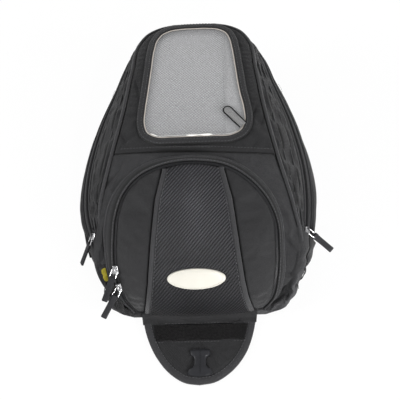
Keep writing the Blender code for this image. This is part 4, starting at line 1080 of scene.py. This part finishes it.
def make_catch():
    """The moulded strap catch: rings from its middle line out to its edge."""
    middle = 0.0012
    right = evenly(mm(CATCH), 60)
    outline = np.concatenate([right, (right[1:-1] * [-1, 1])[::-1]]) + [middle, 0]
    core = np.stack([np.full(len(outline), middle), np.clip(outline[:, 1], -0.2955, -0.2630)], -1)
    rings = []
    for share, z in ((0.02, 0.0100), (0.45, 0.0100), (0.80, 0.0098), (0.93, 0.0092), (1.0, 0.0080), (1.0, 0.0062)):
        p = core + (outline - core) * share
        head, foot = smooth(p[:, 1], -0.2720, -0.2630), 1 - smooth(p[:, 1], -0.2980, -0.2860)
        top = z + (0.0010 * head - 0.0016 * foot) * (share < 0.99) - 0.0010 * smooth(p[:, 1], -0.264, -0.259)
        rings.append(at_height(p, top))
    grid = np.stack(rings)
    piece(shell("strap_catch_body", grid, 0.0012, plastic, closed=True, sharp=30, uv=grid[..., :2]), "flap",
          ["strap_catch"])


def make_flap_fold():
    """The cloth between the pocket's foot and the flap, sloping down to the flap's hinge."""
    x = np.linspace(-0.0830, 0.0830, 90)
    rows = [np.stack([x * (1 + 0.02 * (y + 201.5) / 13.5), np.full(len(x), y / 1000),
                      z / 1000 + 0.0006 * np.sin(x * 130 + y * 0.3)], -1)
            for y, z in ((-201.5, 12.5), (-204.5, 12.5), (-207.5, 11.2), (-210, 8.8), (-212.5, 7), (-216, 6.6),
                         (-219, 6.4), (-219.4, 5.6))]
    piece(shell("flap_fold", np.stack(rows), 0.0012, smooth_cloth, (0, -0.5, 1.0)), None,
          blend=("tub", "flap", (0, -0.2030, 0.0085), (0, -0.2120, 0.0085)))


make_flap()
make_hook_strip()
make_catch()
make_flap_fold()


# Hardware
JOINTS = {joint["name"]: joint for joint in frame["record"]["behaviour"]["joints"]}
HANG = {"main_right": (0.70, -0.35, -0.62), "main_left": (-0.40, -0.52, -0.75),
        "pocket_upper": (-0.36, -0.76, -0.54), "pocket_lower": (-0.50, -0.72, -0.48)}
RING_LONG, RING_WIDE, WIRE = 0.0138, 0.0084, 0.00075
PULL_LONG, PULL_WIDE, PULL_THICK, PULL_OVER = 0.0360, 0.0092, 0.0036, 0.0030
TWIST = {"main_right": math.radians(45)}


def rounded_box(size, corner, look, origin, axes, taper=1.0, waist=0.0):
    """A soft-edged block along the first axis; taper narrows its far end and waist its middle."""
    long, wide, high = size
    a = np.arange(28) / 28 * 2 * math.pi
    cut = np.stack([np.cos(a), np.sin(a)], -1)
    cut = np.sign(cut) * np.abs(cut) ** 0.42
    steps = np.array([0.0, 0.25, 0.6, 0.9])
    steps = np.concatenate([steps, np.linspace(1.0, long / corner - 1.0, 15), long / corner - steps[::-1]])
    at = steps * corner
    soft = corner * (1 - rise(np.minimum(at, long - at), corner))
    width = wide / 2 * (1 + (taper - 1) * at / long) * (1 - waist * np.sin(math.pi * at / long)) - soft
    height = high / 2 - soft * min(1, high / wide * 2)
    rings = np.stack(np.broadcast_arrays(at[:, None], cut[:, 0] * width[:, None], cut[:, 1] * height[:, None]), -1)
    return tube("block", placed(rings, origin, axes), look, rings.reshape(-1, 3)[:, :2], sharp=40)


def joined(name, parts):
    """Several meshes as one piece."""
    for obj in bpy.context.selected_objects:
        obj.select_set(False)
    for obj in parts:
        obj.select_set(True)
    bpy.context.view_layer.objects.active = parts[0]
    bpy.ops.object.join()
    parts[0].name = name
    return parts[0]


def make_slider(name):
    """A slider, its wire ring and its rubber pull, at the joints' places."""
    pivot = np.array(JOINTS[name + "_swing"]["pos_m"])
    axis, run = (unit(np.array(JOINTS[name + joint]["axis"], float)) for joint in ("_swing", "_slide"))
    low, high = (np.array(corner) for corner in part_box(name + "_slider"))
    up = pivot - (low + high) / 2
    up = unit(up - run * np.dot(up, run))
    across = np.cross(up, run)
    if name == "main_left":
        pivot = pivot + [LEFT_PULL * bell(pivot[1] - LEFT_Y, LEFT_LONG), 0, 0]
    base = pivot - up * 0.0030
    axes = (run, across, up)
    plate = rounded_box((0.0118, 0.0086, 0.0017), 0.0008, nickel, base - run * 0.0059, axes, 0.80, 0.05)
    under = rounded_box((0.0112, 0.0078, 0.0012), 0.0006, nickel, base - run * 0.0056 - up * 0.0026, axes, 0.80,
                        0.05)
    bridge = [base + run * a + up * b for a, b in mm([(-4.6, 0.4), (-4, 2.8), (-1.8, 4), (1.4, 4), (3.6, 2.8),
                                                      (4.2, 0.4)])]
    arch = sweep("arch", hermite(bridge, 6), round_section(0.0013, 0.0006), nickel, across)
    piece(joined(name + "_slider_body", [plate, under, arch]), name + "_slider", [name + "_slider"])

    hang = unit(np.array(HANG[name]))
    hang = unit(hang - axis * np.dot(hang, axis))
    flat = np.cross(hang, axis)
    corner, half = 0.0024, RING_WIDE / 2
    near, far, side = corner, RING_LONG - corner, half - corner
    loop = [(x + corner * math.cos(a), y + corner * math.sin(a), 0)
            for x, y, start in ((far, side, 0), (near, side, 90), (near, -side, 180), (far, -side, 270))
            for a in np.radians(np.linspace(start, start + 90, 8))]
    loop = placed(evenly(loop, 64, closed=True) - [WIRE, 0, 0], pivot, (hang, axis, flat))
    piece(sweep(name + "_wire_ring", loop, round_section(WIRE), nickel, flat, closed=True), name + "_pull",
          [name + "_pull_ring"])

    start = pivot + hang * (RING_LONG - PULL_OVER)
    cos, sin = (turn(TWIST.get(name, 0.0)) for turn in (math.cos, math.sin))
    axes = (hang, axis * cos + flat * sin, flat * cos - axis * sin)
    parts = [rounded_box((PULL_LONG, PULL_WIDE, PULL_THICK), 0.0014, pull_rubber, start, axes, 0.94, 0.06)]
    rib, eye = (0.0011, PULL_WIDE * 0.74, PULL_THICK + 0.0008), (0.0056, PULL_WIDE * 1.06, PULL_THICK + 0.0006)
    parts += [rounded_box(rib, 0.0004, pull_rubber, start + hang * (0.0120 + 0.0028 * k), axes) for k in range(7)]
    parts.append(rounded_box(eye, 0.0012, pull_rubber, start - hang * 0.0004, axes))
    piece(joined(name + "_rubber_pull", parts), name + "_pull", [name + "_pull_tab"])


for name in HANG:
    make_slider(name)


# Side label, zip ends
RUN = 40                # columns of a strip on a front corner


def corner_strip(name, label, middle, half, columns, lift, look, nodes=(), flare=0.0):
    """A strip lying on a front corner: middle and half are its rows (half may taper), columns its run."""
    grid = corner_grids[label]
    normals = outward_normals(grid, False, CORNER_CENTRE)
    at = np.linspace(*columns, RUN)
    c0 = np.clip(at.astype(int), 0, grid.shape[1] - 2)
    fc = (at - c0)[:, None]
    rows = []
    for k in np.linspace(-1, 1, 9):
        r = np.broadcast_to(middle + half * k, RUN)
        r0 = np.clip(r.astype(int), 0, len(grid) - 2)
        fr = (r - r0)[:, None]
        place, normal = ((g[r0, c0] * (1 - fc) + g[r0, c0 + 1] * fc) * (1 - fr)
                         + (g[r0 + 1, c0] * (1 - fc) + g[r0 + 1, c0 + 1] * fc) * fr for g in (grid, normals))
        rows.append(place + unit(normal) * (lift + flare * (1 - k * k) * np.linspace(0, 1, RUN)[:, None]))
    strip = np.stack(rows)
    piece(shell(name, strip, 0.0008, look, outward_normals(strip, False, CORNER_CENTRE)), None, nodes,
          blend=CORNER_BLEND)


def make_bunched_end():
    """The pocket zip's loose end, folded up at the left corner."""
    chosen = (zip_arch[:, 0] < 0) & (zip_arch[:, 1] < 0.062)
    part, out = zip_arch[chosen], arch_out[chosen]
    t = np.linspace(0, 1, len(part))
    towards = np.array([-0.35, -0.55, 0.75])
    for k, (offset, lift, wide) in enumerate(((0.0105, 0.0115, 0.0052), (0.0165, 0.0080, 0.0042))):
        line = part + out * (offset + 0.0010 * np.sin(t * 11 + k))[:, None]
        path = on_lid(line, lift + 0.0012 * np.sin(t * 14 + 2 * k) - 0.004 * smooth(t, 0.75, 1.0))
        swell = wide * (0.55 + 0.45 * np.sin(math.pi * t) ** 0.5) * (1 + 0.16 * np.sin(t * 23 + k))
        piece(sweep(f"zip_end_fold_{k}", path, round_section(1.0, 0.62, 14), tape_cloth, scale=swell), "lid")
        dense = evenly(path, 24)[2:-2]
        along = unit(np.gradient(dense, axis=0))
        up = unit(towards - along * (along @ towards)[:, None])
        piece(pebbles(f"zip_end_teeth_{k}", (0.0024, 0.0012, 0.0012), dense + up * wide * 0.60,
                      (np.cross(along, up), along, up), coil_plastic), "lid")


corner_strip("side_label_strip", "left", 5.6, 3.5, (30, 45), 0.0020, label_black, ["side_label"])
corner_strip("side_label_yellow", "left", 4.8, 2.1, (33.5, 39.0), 0.0026, label_yellow)
make_bunched_end()
taper = np.linspace(0.5, 7.5, RUN)
for _, label in SIDES:
    corner_strip("zip_end_cloth_" + label, label, 24.0 - 0.4 * taper, taper, (33, 48), 0.0016, smooth_cloth,
                 ["zip_end_tab_" + label], 0.0030)


# CAD parts that are shown as they are
dressing = {"grip_rubber": rubber, "board": board_sheet, "foam": foam_sheet, "magnet": magnet_plate,
            "lining_fabric": lining_cloth, "ballistic_fabric": dark_cloth}
slots = {part["node"]: part["material_slot"] for part in frame["record"]["subparts"]}
for name, obj in frame["nodes"].items():
    if obj.hide_render:
        continue
    for entry in obj.material_slots:
        entry.material = dressing[slots[name]]
    if "tone" not in obj.data.attributes:
        set_tone(obj.data, 1.0)


# Floor, lights and camera
def make_floor():
    size, z = 4, -0.0002
    mesh = bpy.data.meshes.new("floor")
    mesh.from_pydata([(x * size, y * size, z) for x, y in ((-1, -1), (1, -1), (1, 1), (-1, 1))], [], [(0, 1, 2, 3)])
    floor = bpy.data.objects.new("floor", mesh)
    bpy.context.scene.collection.objects.link(floor)
    mat = bpy.data.materials.new("floor_white")
    mat.use_nodes = True
    tree = mat.node_tree
    tree.nodes.remove(tree.nodes["Principled BSDF"])
    diffuse = add(tree, "BsdfDiffuse", Color=(0.8, 0.8, 0.8, 1))
    glow = add(tree, "Emission", Color=(1, 1, 1, 1), Strength=1.0)
    mixed = add(tree, "MixShader", Fac=0.93, i1=diffuse, i2=glow)
    tree.links.new(mixed, tree.nodes["Material Output"].inputs["Surface"])
    mesh.materials.append(mat)


def make_light(name, place, target, size, power, mirrored=True):
    data = bpy.data.lights.new(name, "AREA")
    data.shape, data.size, data.energy = "DISK", size, power
    lamp = bpy.data.objects.new(name, data)
    bpy.context.scene.collection.objects.link(lamp)
    lamp.location = place
    lamp.rotation_euler = (Vector(target) - Vector(place)).to_track_quat("-Z", "Y").to_euler()
    lamp.visible_glossy = mirrored


def make_camera():
    elevation, azimuth, roll, distance = math.radians(58), math.radians(6.68), math.radians(7.53), 1.5
    target = Vector((0, -0.052, 0.070))
    back = Vector((math.sin(azimuth) * math.cos(elevation), -math.cos(azimuth) * math.cos(elevation),
                   math.sin(elevation)))
    right = (-back).cross(Vector((0, 0, 1))).normalized()
    up = right.cross(-back)
    x = right * math.cos(roll) - up * math.sin(roll)
    y = right * math.sin(roll) + up * math.cos(roll)
    data = bpy.data.cameras.new("camera")
    data.lens, data.sensor_width, data.shift_x = 92.7, 36.0, 0.0075
    camera = bpy.data.objects.new("camera", data)
    bpy.context.scene.collection.objects.link(camera)
    place = Matrix((x, y, back)).transposed().to_4x4()
    place.translation = target + back * distance
    camera.matrix_world = place
    bpy.context.scene.camera = camera


def make_world():
    """White, and dimmer overhead than at the horizon."""
    world = bpy.data.worlds.new("studio")
    world.use_nodes = True
    sky = world.node_tree
    height = add(sky, "SeparateXYZ", "Z", Vector=add(sky, "TexCoord", "Generated"))
    glow = add(sky, "MapRange", Value=height, From_Min=0.05, From_Max=0.9, To_Min=1.0, To_Max=0.28)
    sky.links.new(glow, sky.nodes["Background"].inputs["Strength"])
    sky.nodes["Background"].inputs["Color"].default_value = (1, 1, 1, 1)
    bpy.context.scene.world = world


make_floor()
make_light("left", (-1.3, -0.3, 0.80), (0, 0, 0.05), 0.9, 18.0)
make_light("right", (1.3, -0.7, 0.70), (0, 0, 0.05), 0.9, 16.0)
make_light("back", (0.1, 1.6, 0.70), (0, 0, 0.08), 0.7, 13.0, mirrored=False)
make_light("front", (0.75, -1.4, 0.45), (0, -0.1, 0.04), 0.35, 15.0)
make_light("glint", (0.25, -1.3, 1.05), (0, 0.05, 0.16), 0.10, 4.0)
make_camera()
make_world()
bpy.context.scene.view_settings.view_transform = "Standard"
